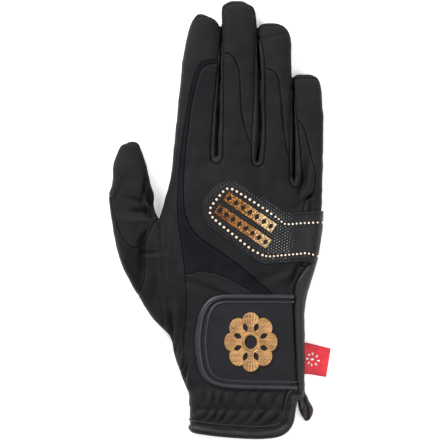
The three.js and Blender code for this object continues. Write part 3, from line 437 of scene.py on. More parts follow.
# Gussets between the fingers, from the tips to the web: along, left, right.
slots = {
    "index_middle": [(0.928, -0.313, -0.303), (0.891, -0.344, -0.292),
                     (0.830, -0.368, -0.290), (0.759, -0.406, -0.290),
                     (0.704, -0.432, -0.290), (0.650, -0.450, -0.295)],
    "middle_ring": [(0.921, 0.150, 0.168), (0.875, 0.127, 0.238), (0.802, 0.124, 0.250),
                    (0.731, 0.098, 0.254), (0.685, 0.083, 0.256), (0.644, 0.078, 0.238)],
    "ring_little": [(0.814, 0.608, 0.629), (0.760, 0.589, 0.643), (0.700, 0.580, 0.686),
                    (0.640, 0.572, 0.717), (0.595, 0.576, 0.730)],
}
# The dark slit in the middle of each gusset: across, along.
slits = {
    "index_middle": [(-0.310, 0.950), (-0.320, 0.900), (-0.342, 0.830), (-0.365, 0.771),
                     (-0.372, 0.705), (-0.378, 0.650)],
    "middle_ring": [(0.160, 0.940), (0.172, 0.880), (0.196, 0.826), (0.222, 0.770),
                    (0.196, 0.686), (0.150, 0.637)],
    "ring_little": [(0.620, 0.820), (0.625, 0.760), (0.638, 0.715), (0.632, 0.650),
                    (0.628, 0.590)],
}
webDepth = 0.021


def region(name, steps, corners):
    return np.vstack([spline(place(seams[name]), steps), place(corners)])


def slotPath(rows):
    rows = spline(rows, 4)
    left, right = place(rows[:, [1, 0]]), place(rows[:, [2, 0]])
    end = rows[-1]
    turn = np.linspace(0, pi, 9)[1:-1]
    web = [((end[1] + end[2]) / 2 - np.cos(t) * (end[2] - end[1]) / 2,
            end[0] - webDepth * np.sin(t) ** 0.7) for t in turn]
    return np.vstack([left, place(web), right[::-1]])


def shifted(points, distance):
    before = np.vstack([points[:1], points[:-1]])
    after = np.vstack([points[1:], points[-1:]])
    run = unit(after - before)
    return points + np.column_stack([-run[:, 1], run[:, 0]]) * distance


hemWidth = 3.5
hemLine = spline(place(seams["hem"]), 8)
hemInner = shifted(hemLine, hemWidth)
thumbLine = spline(place(seams["thumb"]), 6)
outlines = {
    "roll": region("roll", 6, [(0.670, 0.09), (1.20, 0.09), (1.20, 0.405)]),
    "thumb": np.vstack([thumbLine, place([(-1.125, 0.57), (-1.125, 0.72), (-1.95, 0.72)])]),
    "thumbSide": region("thumbSide", 5, [(-1.165, 0.40), (-1.95, 0.40), (-1.95, 0.72),
                                         (-1.42, 0.72)]),
    "thumbBall": np.vstack([thumbLine[:42][::-1], place([(-1.95, 0.55), (-1.95, 0.25)]),
                            spline(place(seams["palmCrease"]), 5)[::-1]]),
    "index": region("index", 5, [(-1.10, 0.13), (-1.80, 0.30), (-1.80, 0.43), (-1.30, 0.60),
                                 (-1.10, 1.05), (-0.29, 1.05), (-0.308, 0.93),
                                 (-0.310, 0.90)]),
    "wrist": region("wrist", 5, [(0.95, -0.05), (-1.10, -0.05), (-1.10, 0.36)]),
    "flex": region("shield", 5, [(0.58, 0.20), (-1.10, 0.20), (-1.10, 0.90),
                                 (-0.335, 0.90)]),
    "middle": region("middle", 5, [(0.175, 0.66), (0.160, 0.86), (0.158, 0.93), (0.15, 1.05),
                                   (-0.29, 1.05), (-0.308, 0.93), (-0.320, 0.89)]),
    "ring": region("ring", 5, [(0.625, 0.70), (0.609, 0.80), (0.62, 0.88), (0.55, 1.00),
                               (0.15, 1.00), (0.158, 0.93), (0.163, 0.86)]),
    "little": region("little", 5, [(1.20, 0.395), (1.20, 0.90), (0.62, 0.90),
                                   (0.613, 0.79)]),
    "inside": np.vstack([hemInner, place([(1.30, 0.105), (1.30, 1.10), (-2.10, 1.10),
                                          (-2.10, 0.05)])]),
}
for name, rows in slots.items():
    outlines[name] = slotPath(rows)


# Distance in plan to a line, exact within reach.
def lineDistance(xy, line, reach=3.0):
    x, y = xy.T
    near = np.full(len(xy), reach)
    for (ax, ay), (bx, by) in zip(line[:-1], line[1:]):
        close = np.nonzero((x > min(ax, bx) - reach) & (x < max(ax, bx) + reach)
                           & (y > min(ay, by) - reach) & (y < max(ay, by) + reach))[0]
        if len(close) == 0:
            continue
        dx, dy = bx - ax, by - ay
        t = np.clip(((x[close] - ax) * dx + (y[close] - ay) * dy)
                    / max(dx * dx + dy * dy, 1e-12), 0, 1)
        d = np.hypot(x[close] - ax - t * dx, y[close] - ay - t * dy)
        near[close] = np.minimum(near[close], d)
    return near


# Signed distance from a closed outline in plan, negative inside.
def outlineField(xy, outline, reach=3.0):
    x, y = xy.T
    inside = np.zeros(len(xy), bool)
    for (ax, ay), (bx, by) in zip(outline, np.roll(outline, -1, axis=0)):
        if ay != by:
            inside ^= ((y > ay) != (y > by)) & (x < (bx - ax) * (y - ay) / (by - ay) + ax)
    near = lineDistance(xy, np.vstack([outline, outline[:1]]), reach)
    return np.where(inside, -near, near)


# Splits the triangles along the line where the field is at the level; every column of v,
# the field included, is interpolated.
def cutAt(v, tri, field, level):
    s = field - level
    s[np.abs(s) < 1e-3] = 0
    side = np.sign(s)
    first, second = tri, np.roll(tri, -1, axis=1)
    crossed = side[first] * side[second] < 0
    low, high = np.minimum(first, second)[crossed], np.maximum(first, second)[crossed]
    keys, back = np.unique(low.astype(np.int64) * len(v) + high, return_inverse=True)
    a, b = keys // len(v), keys % len(v)
    t = (s[a] / (s[a] - s[b]))[:, None]
    fresh = np.full(tri.shape, -1)
    fresh[crossed] = len(v) + back
    field = np.concatenate([field, field[a] + (field[b] - field[a]) * t[:, 0]])
    v = np.vstack([v, v[a] + (v[b] - v[a]) * t])
    count = crossed.sum(1)
    out = [tri[count == 0]]
    for k in range(3):
        p, q, far = k, (k + 1) % 3, (k + 2) % 3
        m = (count == 2) & ~crossed[:, k]
        n1, n2 = fresh[m, q], fresh[m, far]
        out += [np.column_stack([n1, tri[m, far], n2]),
                np.column_stack([tri[m, p], tri[m, q], n1]),
                np.column_stack([tri[m, p], n1, n2])]
        m = (count == 1) & crossed[:, k]
        out += [np.column_stack([tri[m, p], fresh[m, k], tri[m, far]]),
                np.column_stack([fresh[m, k], tri[m, q], tri[m, far]])]
    return v, np.vstack(out), field


# Height above the seam between back and palm, which climbs on to the fingertips.
def seamField(rest):
    return rest[:, 2] - glove["seamHeight"] - glove["tipClimb"] * tipMask(rest)


# Cuts the skin along every seam, and again beside it so that its groove has an edge.
# Seams of the back aren't carried through to the palm: an edge with no field is left whole.
cuts = {"besideSeam": (0.0, 0.4, -0.4, 0.95, -0.95), "besideSlit": (0.3, 0.6, 1.0, 1.4, 1.9),
        "lowest": 1.5}


def cutSkin(v, tri):
    for name, outline in outlines.items():
        field = outlineField(v[:, 3:5], outline)
        if name not in ("thumb", "thumbBall", "inside"):
            field[v[:, 5] < cuts["lowest"]] = np.nan
        for level in (cuts["besideSeam"] if name != "inside" else (0.0,)):
            v, tri, field = cutAt(v, tri, field, level)
    for slit in slits.values():
        field = lineDistance(v[:, 3:5], spline(place(slit), 4))
        field[v[:, 5] < cuts["lowest"]] = np.nan
        for level in cuts["besideSlit"]:
            v, tri, field = cutAt(v, tri, field, level)
    field = seamField(v[:, 3:6])
    for level in cuts["besideSeam"]:
        v, tri, field = cutAt(v, tri, field, level)
    return v, tri


wholeSkin, wholeTri = skin, skinTri
skin, skinTri = cutSkin(skin, skinTri)
print("cut skin:", len(skinTri), "triangles")


# Which piece each triangle belongs to; what lies outside the hem belongs to none.
def sortPanels(v, tri):
    middle = v[tri].mean(1)
    xy = middle[:, 3:5]
    upper = seamField(middle[:, 3:6]) > 0
    within = {name: outlineField(xy, o, 0.01) < 0 for name, o in outlines.items()}
    owner = np.full(len(tri), "back_panel", dtype=object)
    free = within["inside"].copy()
    owner[~free] = ""
    rules = [
        ("thumb_back", within["thumb"] & within["thumbSide"] & upper),
        ("thumb_palm", within["thumb"]),
        ("palm_panel", within["thumbBall"] | ~upper),
        ("side_roll", within["roll"]),
        ("fourchette_index_middle", within["index_middle"]),
        ("fourchette_middle_ring", within["middle_ring"]),
        ("fourchette_ring_little", within["ring_little"]),
        ("index_panel", within["index"]),
        ("wrist_panel", within["wrist"]),
        ("flex_strip", within["flex"]),
        ("middle_panel", within["middle"]),
        ("ring_panel", within["ring"]),
        ("little_panel", within["little"]),
    ]
    for name, rule in rules:
        mine = free & rule
        owner[mine] = name
        free &= ~mine
    return owner


owner = sortPanels(skin, skinTri)
restTree = BVHTree.FromPolygons(wholeSkin[:, 3:6].tolist(), wholeTri.tolist())


# Top of the smooth skin under places in plan, and the way it faces.
def surfaceAt(xy):
    points, normals = [], []
    for x, y in xy:
        hit, _, index, _ = restTree.ray_cast(Vector((x, y, overHead)), Vector((0, 0, -1)))
        if hit is None:
            hit, _, index, _ = restTree.find_nearest(Vector((x, y, 8)))
        hit = np.array(hit)
        corners = wholeTri[index]
        away = np.linalg.norm(wholeSkin[corners, 3:6] - hit, axis=1)
        weight = 1 / (away + 0.05)
        normal = (wholeSkin[corners, 6:9] * weight[:, None]).sum(0)
        points.append(hit)
        normals.append(unit(normal))
    return np.array(points), np.array(normals)


# The way to the left of a path on the skin.
def leftOf(facing, run):
    return unit(np.cross(facing, unit(run)))


def closedRun(loop):
    return np.roll(loop, -1, axis=0) - np.roll(loop, 1, axis=0)


# Meshes and materials.
def hexColor(text):
    channels = [int(text[i:i + 2], 16) / 255 for i in (1, 3, 5)]
    return [*(c / 12.92 if c <= 0.04045 else ((c + 0.055) / 1.055) ** 2.4 for c in channels), 1]


def addNode(tree, kind, settings=None, values=None, links=None):
    node = tree.nodes.new(kind)
    for key, value in (settings or {}).items():
        setattr(node, key, value)
    for key, value in (values or {}).items():
        node.inputs[key].default_value = value
    for key, source in (links or {}).items():
        tree.links.new(source, node.inputs[key])
    return node


def newMaterial(name, surface):
    material = bpy.data.materials.new(name)
    material.use_nodes = True
    tree = material.node_tree
    tree.nodes.clear()
    shader = addNode(tree, "ShaderNodeBsdfPrincipled", values={
        "Base Color": hexColor(surface["color"]), "Roughness": surface["roughness"],
        "Metallic": surface.get("metallic", 0.0),
        "Specular IOR Level": surface.get("specular", 0.5)})
    if "sheen" in surface:
        shader.inputs["Sheen Weight"].default_value = surface["sheen"]
        shader.inputs["Sheen Roughness"].default_value = 0.4
        shader.inputs["Sheen Tint"].default_value = hexColor(surface.get("sheenTint", "#a8adb5"))
    if "coat" in surface:
        shader.inputs["Coat Weight"].default_value = surface["coat"]
        shader.inputs["Coat Roughness"].default_value = surface.get("coatRoughness", 0.1)
    addNode(tree, "ShaderNodeOutputMaterial", links={"Surface": shader.outputs[0]})
    return material, tree, shader


# A ramp of colours or tints over a value: position, colour.
def addRamp(tree, source, stops):
    node = addNode(tree, "ShaderNodeValToRGB", links={"Fac": source})
    ramp = node.color_ramp
    while len(ramp.elements) < len(stops):
        ramp.elements.new(0.5)
    for element, (position, color) in zip(ramp.elements, stops):
        element.position = position
        element.color = hexColor(color) if isinstance(color, str) else (color, color, color, 1)
    return node.outputs[0]


def multiplied(tree, first, second, amount=1.0):
    return addNode(tree, "ShaderNodeMix", {"data_type": "RGBA", "blend_type": "MULTIPLY"},
                   {0: amount}, {6: first, 7: second}).outputs[2]


def addBump(tree, shader, height, strength, millimetres):
    bump = addNode(tree, "ShaderNodeBump", None,
                   {"Strength": strength, "Distance": millimetres / 1000}, {"Height": height})
    tree.links.new(bump.outputs[0], shader.inputs["Normal"])


def bands(tree, vector, direction, pitch, distortion=0.6):
    # a wave texture repeats every pi / 10 at scale 1
    return addNode(tree, "ShaderNodeTexWave", {"bands_direction": direction},
                   {"Scale": 0.314 * 1000 / pitch, "Distortion": distortion, "Detail": 1.0},
                   {"Vector": vector}).outputs["Fac"]


def noise(tree, vector, size, detail=4.0):
    return addNode(tree, "ShaderNodeTexNoise", None,
                   {"Scale": 1000 / size, "Detail": detail, "Roughness": 0.6},
                   {"Vector": vector}).outputs["Fac"]


def coordOf(tree):
    return addNode(tree, "ShaderNodeTexCoord").outputs["Object"]


def attributeOf(tree, name):
    return addNode(tree, "ShaderNodeAttribute", {"attribute_name": name}).outputs["Fac"]


def mapped(tree, value, limits):
    return addNode(tree, "ShaderNodeMapRange", None, limits, {"Value": value}).outputs[0]


# The shader's colour and, where a value is given, its roughness some way below and above.
def painted(tree, shader, color, value=None, below=0.0, above=0.0):
    tree.links.new(color, shader.inputs["Base Color"])
    if value is not None:
        middle = shader.inputs["Roughness"].default_value
        rough = mapped(tree, value, {"To Min": middle - below, "To Max": middle + above})
        tree.links.new(rough, shader.inputs["Roughness"])


def calc(tree, operation, first, second):
    settings, links = {}, {}
    for key, value in ((0, first), (1, second)):
        (settings if isinstance(value, (int, float)) else links)[key] = value
    return addNode(tree, "ShaderNodeMath", {"operation": operation}, settings, links).outputs[0]


# Cloth: two crossing sets of threads, mottled colour, painted shade in its seams and a
# little painted sheen where the folded seam edge is pressed up. Threads are drawn about
# twice too coarse, because one pixel of the picture is 0.55 mm wide.
def clothMaterial(name, surface):
    material, tree, shader = newMaterial(name, surface)
    coord = coordOf(tree)
    weave = calc(tree, "MAXIMUM", bands(tree, coord, "X", surface["thread"]),
                 bands(tree, coord, "Y", surface["thread"]))
    blotch = noise(tree, coord, surface.get("blotch", 14.0), 5.0)
    grain = noise(tree, coord, surface.get("grain", 0.9), 3.0)
    color = addRamp(tree, blotch, [(0.35, surface["dark"]), (0.68, surface["color"])])
    color = multiplied(tree, color, addRamp(tree, weave, [(0.1, 0.62), (0.8, 1.0)]),
                       surface.get("weaveTone", 0.35))
    color = multiplied(tree, color, addRamp(tree, grain, [(0.3, 0.75), (0.7, 1.15)]), 0.5)
    # painted shade in the seam and slit grooves, a band of painted sheen beside them
    wearAndPaintedLight = addRamp(tree, calc(tree, "MULTIPLY", attributeOf(tree, "seamDistance"), 0.25),
                   [(0.0, 0.18), (0.06, 0.5), (0.13, 1.25), (0.26, 1.25), (0.50, 1.0)])
    # painted shade where the cloth lies low in a crease, a painted highlight on a crest
    crease = mapped(tree, attributeOf(tree, "crease"), {"From Min": -2.0, "From Max": 2.0})
    creaseShadeAndCrestHighlight = addRamp(tree, crease, [(0.1, 0.35), (0.42, 0.86), (0.5, 1.0), (0.72, 1.22)])
    painted(tree, shader, multiplied(tree, multiplied(tree, color, wearAndPaintedLight), creaseShadeAndCrestHighlight), blotch, 0.08, 0.08)
    height = calc(tree, "ADD", weave, calc(tree, "MULTIPLY", grain, 0.8))
    addBump(tree, shader, height, surface.get("bump", 0.35), 0.25)
    return material


surfaces = {
    # four-way stretch polyester: matt, fine cross weave, a soft grey bloom
    "stretchPolyester": {"color": "#1b1c1e", "dark": "#141517", "roughness": 0.68,
                         "thread": 0.9, "sheen": 0.03, "weaveTone": 0.5, "specular": 0.14},
    # thin knitted jersey: darker, a violet cast, no bloom
    "flexJersey": {"color": "#16181b", "dark": "#101114", "roughness": 0.85, "thread": 0.7,
                   "sheen": 0.02, "weaveTone": 0.4, "specular": 0.10},
    # brushed microfibre suede: short nap, softer edges in the light
    "fingerSuede": {"color": "#1f1f22", "dark": "#161618", "roughness": 0.74, "thread": 1.1,
                    "sheen": 0.04, "grain": 0.7, "weaveTone": 0.25, "bump": 0.45,
                    "specular": 0.15},
    # the palm's heavier suede: more nap, hardly any weave
    "palmSuede": {"color": "#1a1a1c", "dark": "#111113", "roughness": 0.80, "thread": 1.2,
                  "sheen": 0.05, "grain": 0.6, "weaveTone": 0.12, "bump": 0.5,
                  "specular": 0.15},
    # the rolled edge: the same suede pulled smooth and rubbed, so it catches the light
    "rubbedSuede": {"color": "#1f1e21", "dark": "#161518", "roughness": 0.55, "thread": 1.2,
                    "sheen": 0.05, "grain": 0.8, "weaveTone": 0.1, "bump": 0.4,
                    "specular": 0.3},
    # ribbed cuff jersey with a violet cast
    "cuffJersey": {"color": "#18171a", "dark": "#0f0e12", "roughness": 0.66, "thread": 0.9,
                   "sheen": 0.03, "weaveTone": 0.4, "specular": 0.2},
    # rolled gusset edge: the same cloth drawn tight, so smoother and lighter
    "gussetCloth": {"color": "#222225", "dark": "#19191b", "roughness": 0.7, "thread": 0.9,
                    "sheen": 0.04, "weaveTone": 0.3, "specular": 0.18},
    # foam-backed neoprene knit of the tab: even and flat
    "tabNeoprene": {"color": "#232226", "dark": "#1c1b1f", "roughness": 0.66, "thread": 0.8,
                    "sheen": 0.03, "weaveTone": 0.5, "specular": 0.15, "blotch": 20.0},
    # coated cloth of the knuckle patch: smooth and slightly waxy
    "coatedCloth": {"color": "#1e1e20", "dark": "#151517", "roughness": 0.5, "thread": 1.0,
                    "sheen": 0.0, "weaveTone": 0.2, "specular": 0.2, "bump": 0.2},
}
clothOf = {name: clothMaterial(name, surface) for name, surface in surfaces.items()}


def meshObject(name, co, tri, material, attributes=None, smooth=True):
    mesh = bpy.data.meshes.new(name)
    co = np.ascontiguousarray(co, np.float32) / 1000
    tri = np.ascontiguousarray(tri, np.int32)
    mesh.vertices.add(len(co))
    mesh.vertices.foreach_set("co", co.ravel())
    mesh.loops.add(tri.size)
    mesh.loops.foreach_set("vertex_index", tri.ravel())
    mesh.polygons.add(len(tri))
    mesh.polygons.foreach_set("loop_start", np.arange(0, tri.size, 3, dtype=np.int32))
    mesh.polygons.foreach_set("use_smooth", np.full(len(tri), smooth))
    mesh.update(calc_edges=True)
    for key, values in (attributes or {}).items():
        mesh.attributes.new(key, "FLOAT", "POINT").data.foreach_set(
            "value", np.ascontiguousarray(values, np.float32))
    mesh.materials.append(material)
    return linked(name, mesh)


def finished(obj, slot, *replaced):
    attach(obj, "root")
    if replaced:
        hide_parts(*replaced)
    return obj


def borderEdges(tri):
    edges = np.vstack([tri[:, [0, 1]], tri[:, [1, 2]], tri[:, [2, 0]]])
    key = np.sort(edges, axis=1).astype(np.int64) @ np.array([1 << 32, 1])
    _, index, count = np.unique(key, return_index=True, return_counts=True)
    return edges[index[count == 1]]


# Distance of every vertex from the border, up to the reach.
def borderDistance(co, edges, reach=6.0):
    tree = KDTree(len(edges))
    for i, p in enumerate((co[edges[:, 0]] + co[edges[:, 1]]) / 2):
        tree.insert(p, i)
    tree.balance()
    nearest = np.array([[hit[1] for hit in tree.find_n(p, 3)] for p in co])
    best = np.full(len(co), reach)
    for column in nearest.T:
        a, b = co[edges[column, 0]], co[edges[column, 1]]
        run = b - a
        t = np.einsum("ij,ij->i", co - a, run) / np.maximum((run ** 2).sum(1), 1e-12)
        d = np.linalg.norm(co - a - run * np.clip(t, 0, 1)[:, None], axis=1)
        best = np.minimum(best, d)
    return best


# Closed wall between two copies of a sheet, with a strip round every border.
def walled(outer, inner, tri):
    a, b = borderEdges(tri).T
    count = len(outer)
    strip = np.vstack([np.column_stack([b, a, a + count]),
                       np.column_stack([b, a + count, b + count])])
    return np.vstack([outer, inner]), np.vstack([tri, tri[:, ::-1] + count, strip])


def smoothStair(value):
    value = np.clip(value, 0, 1)
    return value * value * (3 - 2 * value)


# A gusset is two rolled edges with a slit between them.
def gussetLift(co, d, slit):
    centre = lineDistance(co[:, :2], spline(place(slits[slit]), 4), 3.0)
    share = centre / (centre + d + 1e-6)
    roll = np.sin(pi * np.clip((share - 0.16) / 0.84, 0, 1)) ** 0.7
    return 0.75 * roll - 2.6 * (1 - smoothStair(centre / 0.75))


# One panel of the shell. Its edge turns down into the seam over a width, and the panel
# stands up by its own lift, and by its dome further in, behind the edge.
edgeWidth = {"groove": 0.5, "lift": 0.55, "dome": 2.2}


def makePanel(name, finish):
    tri = skinTri[owner == name]
    used, back = np.unique(tri, return_inverse=True)
    tri = back.reshape(-1, 3)
    co, normal = skin[used, :3], skin[used, 6:9]
    normal = unit(normal)
    d = borderDistance(co, borderEdges(tri))
    near = {key: np.exp(-(d / width) ** 2) for key, width in edgeWidth.items()}
    groove = finish.get("groove", 0.42) * near["groove"]
    lift = finish.get("lift", 0.0) * (1 - near["lift"])
    lift += finish.get("dome", 0.0) * (1 - near["dome"]) * np.clip(normal[:, 2], 0, 1)
    lift += 0.10 * waves(co, 3.2, 11) * near["dome"] * (co[:, 2] > drape["foldsFrom"])
    shade = d
    if "slit" in finish:
        lift += gussetLift(co, d, finish["slit"]) * np.clip(normal[:, 2] * 2, 0, 1)
        centre = lineDistance(co[:, :2], spline(place(slits[finish["slit"]]), 4), 3.0)
        shade = np.minimum(d, centre * 0.8)
    outer = co + normal * (lift - groove)[:, None]
    outer[:, 2] = np.maximum(outer[:, 2], 0)
    inner = outer - normal * glove["wall"]
    co, tri = walled(outer, inner, tri)
    obj = meshObject(name + "_cloth", co, tri, clothOf[finish["cloth"]],
                     {"seamDistance": np.tile(shade, 2), "crease": np.tile(skin[used, 9], 2)})
    print("panel:", name, len(tri))
    return finished(obj, finish["slot"], name)


panels = {
    "back_panel": {"cloth": "stretchPolyester", "slot": "cloth", "lift": 0.35},
    "flex_strip": {"cloth": "flexJersey", "slot": "stretch", "lift": -0.15},
    "index_panel": {"cloth": "fingerSuede", "slot": "cloth_soft"},
    "middle_panel": {"cloth": "fingerSuede", "slot": "cloth_soft"},
    "ring_panel": {"cloth": "fingerSuede", "slot": "cloth_soft"},
    "little_panel": {"cloth": "fingerSuede", "slot": "cloth_soft"},
    "fourchette_index_middle": {"cloth": "gussetCloth", "slot": "ridge",
                                "slit": "index_middle"},
    "fourchette_middle_ring": {"cloth": "gussetCloth", "slot": "ridge", "slit": "middle_ring"},
    "fourchette_ring_little": {"cloth": "gussetCloth", "slot": "ridge", "slit": "ring_little"},
    "thumb_back": {"cloth": "fingerSuede", "slot": "cloth_soft"},
    "thumb_palm": {"cloth": "palmSuede", "slot": "suede"},
    "wrist_panel": {"cloth": "cuffJersey", "slot": "cuff", "groove": 0.3},
    "palm_panel": {"cloth": "palmSuede", "slot": "suede", "groove": 0.35},
    "side_roll": {"cloth": "rubbedSuede", "slot": "suede", "lift": 1.25, "dome": 1.2},
}
for name, finish in panels.items():
    makePanel(name, finish)


# Every triangle in four, by the middles of its edges.
def finer(v, tri):
    edges = np.vstack([tri[:, [0, 1]], tri[:, [1, 2]], tri[:, [2, 0]]])
    edges = np.sort(edges, axis=1)
    keys, back = np.unique(edges[:, 0].astype(np.int64) * len(v) + edges[:, 1],
                           return_inverse=True)
    mid = (v[keys // len(v)] + v[keys % len(v)]) / 2
    a, b, c = tri.T
    ab, bc, ca = (back.reshape(3, -1) + len(v))
    tri = np.vstack([np.column_stack(t) for t in
                     ((a, ab, ca), (ab, b, bc), (ca, bc, c), (ab, bc, ca))])
    return np.vstack([v, mid]), tri


# The part of the smooth skin inside a field of places in plan, as fine as asked, with the
# field's value at each point.
def skinPatch(fieldOf, box, rounds, levels=(0.0, -0.25, -0.6, -1.1), lowest=4.2):
    rest = wholeSkin[:, 3:6]
    corner = rest[wholeTri].mean(1)
    (x0, y0), (x1, y1) = box
    near = ((corner[:, 0] > x0 - 2) & (corner[:, 0] < x1 + 2) & (corner[:, 1] > y0 - 2)
            & (corner[:, 1] < y1 + 2) & (corner[:, 2] > lowest))
    used, back = np.unique(wholeTri[near], return_inverse=True)
    v, tri = wholeSkin[used, 3:9], back.reshape(-1, 3)
    for _ in range(rounds):
        v, tri = finer(v, tri)
    field = fieldOf(v[:, :2])
    for level in levels:
        v, tri, field = cutAt(v, tri, field, level)
    tri = tri[field[tri].mean(1) < 0]
    used, back = np.unique(tri, return_inverse=True)
    v, field = v[used], field[used]
    return v[:, :3], unit(v[:, 3:6]), back.reshape(-1, 3), -field


def boxOf(outline):
    return outline.min(0), outline.max(0)


# A layer on the glove: a sheet from one level above the skin to another, its edge rounded.
def makeLayer(name, patch, low, high, material, rounding=0.45, relief=None):
    co, normal, tri, d = patch
    edge = np.sqrt(np.clip(1 - (1 - np.clip(d / rounding, 0, 1)) ** 2, 0, 1))
    top = low + (high - low) * (0.45 + 0.55 * edge)
    if relief is not None:
        top = top + relief
    co, tri = walled(co + normal * top[:, None], co + normal * low, tri)
    return meshObject(name, co, tri, material, {"seamDistance": np.tile(d + 0.35, 2)})


def lengthsOf(path):
    return np.concatenate([[0], np.cumsum(np.linalg.norm(np.diff(path, axis=0), axis=1))])


# A closed profile of (in, up) pairs carried along a path on the glove. In runs to the left
# of the path, up along the way the skin faces.
def sweep(name, path, profile, material, closed=False, widen=None, frameOf=None):
    points, normals = surfaceAt(path) if frameOf is None else frameOf
    left = leftOf(normals, closedRun(points) if closed else np.gradient(points, axis=0))
    profile = np.array(profile, float)
    stretch = np.ones(len(points)) if widen is None else widen(left)
    co = (points[:, None] + left[:, None] * (profile[None, :, 0:1] * stretch[:, None, None])
          + normals[:, None] * profile[None, :, 1:2])
    count, size = co.shape[:2]
    faces = inTriangles(ringFaces(count, size, closed))
    flat = co.reshape(-1, 3)
    length = lengthsOf(points)
    rows = np.repeat(length, size)
    if not closed:
        for end, first in ((0, 0), (1, (count - 1) * size)):
            middle = len(flat)
            flat = np.vstack([flat, flat[first:first + size].mean(0)])
            rows = np.append(rows, length[-end])
            for i in range(size):
                pair = (first + i, first + (i + 1) % size)
                faces.append((*pair[::-1], middle) if end == 0 else (*pair, middle))
    tri = np.array(faces)
    a, b, c = flat[tri[:, 0]], flat[tri[:, 1]], flat[tri[:, 2]]
    if np.einsum("ij,ij->i", a - flat.mean(0), np.cross(b - a, c - a)).sum() < 0:
        tri = tri[:, ::-1]
    flat[:, 2] = np.maximum(flat[:, 2], 0)
    across = np.tile(profile[:, 0], count)
    across = np.concatenate([across, np.full(len(flat) - len(across), 0.0)])
    return meshObject(name, flat, tri, material, {"run": rows, "across": across})


def resampled(path, step, closed=False):
    path = np.array(path, float)
    if closed:
        path = np.vstack([path, path[:1]])
    length = lengthsOf(path)
    count = max(int(length[-1] / step), 2)
    marks = np.linspace(0, length[-1], count + 1)[:count if closed else count + 1]
    return np.column_stack([np.interp(marks, length, path[:, k]) for k in range(path.shape[1])])


# Satin tape of the bindings: fine ribs across the run, painted highlights on its soft edge
# and ridge, painted shade in the sewn groove.
def satinMaterial(name, surface):
    material, tree, shader = newMaterial(name, surface)
    coord = coordOf(tree)
    ribs = calc(tree, "MULTIPLY", attributeOf(tree, "run"), 2 * pi / surface["rib"])
    rib = calc(tree, "SINE", ribs, 0.0)
    blotch = noise(tree, coord, 6.0)
    grain = noise(tree, coord, 0.8, 2.0)
    color = addRamp(tree, blotch, [(0.3, surface["dark"]), (0.7, surface["color"])])
    share = mapped(tree, attributeOf(tree, "across"), {"From Min": -4.0, "From Max": 6.0})
    groove = addRamp(tree, share, surface["groove"])
    painted(tree, shader, multiplied(tree, color, groove), blotch, 0.07, 0.12)
    height = calc(tree, "ADD", calc(tree, "MULTIPLY", rib, 0.35), grain)
    addBump(tree, shader, height, 0.3, 0.2)
    return material


# Closure tab: a foam-backed field, a rolled satin binding with a sewn groove, and a gold
# rosette printed on it.
tab = {
    "outline": [(0.618, 0.332), (-0.065, 0.332), (-0.310, 0.331), (-0.479, 0.319),
                (-0.595, 0.289), (-0.643, 0.245), (-0.644, 0.204), (-0.595, 0.158),
                (-0.479, 0.131), (-0.298, 0.118), (0.000, 0.114), (0.648, 0.112)],
    "low": 0.3, "top": 1.8,
    # in from the edge, up
    "profile": [(0.3, 0.3), (-0.05, 0.8), (0.0, 1.4), (0.4, 2.1), (1.2, 2.5), (2.0, 2.45),
                (2.55, 2.1), (2.85, 1.5), (3.2, 1.2), (3.75, 1.35), (4.1, 1.85), (4.5, 2.0),
                (4.85, 1.85), (5.05, 1.45), (5.0, 0.5)],
    # painted highlights and shade across the tape, from 4 mm outside its line to 6 mm inside
    "groove": [(0.38, 0.7), (0.51, 1.25), (0.63, 0.8), (0.67, 0.1), (0.785, 0.1), (0.82, 1.2),
               (0.92, 0.8)],
    "rib": 0.9, "stitchIn": 3.45, "stitchUp": 1.38,
}
satin = satinMaterial("satinTape", {"color": "#2b2a2f", "dark": "#201f24", "roughness": 0.40,
                                    "specular": 0.4, "rib": tab["rib"],
                                    "groove": tab["groove"]})
tabEdge = resampled(spline(place(tab["outline"]), 8), 0.8)
tabRegion = np.vstack([tabEdge, place([(0.628, 0.16), (0.610, 0.245), (0.600, 0.30)])])


# The binding is broader round the free end, where the tape is eased flat.
def tabWiden(left):
    return 1 + 0.30 * left[:, 0] ** 2


def makeTab():
    patch = skinPatch(lambda xy: outlineField(xy, tabRegion), boxOf(tabRegion), 0)
    co, normal, tri, d = patch
    edge = lineDistance(co[:, :2], tabEdge, 13.0)
    puff = 0.35 * smoothStair((edge - 5.2) / 7) + 0.05 * waves(co, 6.0, 21)
    tuck = -0.9 * smoothStair((co[:, 0] - 37.5) / 3.5)
    field = makeLayer("closure_tab_field", patch, tab["low"], tab["top"] - 0.25,
                      clothOf["tabNeoprene"], 0.5, puff + tuck)
    finished(field, "tab", "closure_tab")
    rim = sweep("tab_binding_roll", tabEdge, tab["profile"], satin, widen=tabWiden)
    finished(rim, "binding", "tab_binding")


makeTab()
print("tab done")


# Printed foil: warm gold with a brushed, slightly worn print.
def foilMaterial(name, surface):
    material, tree, shader = newMaterial(name, surface)
    coord = coordOf(tree)
    streak = addNode(tree, "ShaderNodeMapping", links={"Vector": coord},
                     values={"Scale": (0.25, 1.6, 1.0)}).outputs[0]
    brushed = noise(tree, streak, 1.6, 3.0)
    wearAndPaintedLight = noise(tree, coord, 5.0, 4.0)
    color = addRamp(tree, brushed, [(0.3, surface["dark"]), (0.7, surface["color"])])
    color = multiplied(tree, color, addRamp(tree, wearAndPaintedLight, [(0.35, 0.7), (0.65, 1.1)]), 0.8)
    painted(tree, shader, color, wearAndPaintedLight, 0.1, 0.15)
    addBump(tree, shader, calc(tree, "ADD", brushed, wearAndPaintedLight), 0.15, 0.15)
    return material


# Eight petals round an open middle.
rosette = {"centre": place((0.068, 0.223)), "radius": 14.5, "tall": 1.12, "petals": 8,
           "hole": 0.23, "slotFrom": 0.38, "slotTo": 0.68, "slotHalf": 0.085,
           "low": 1.9, "high": 2.35}


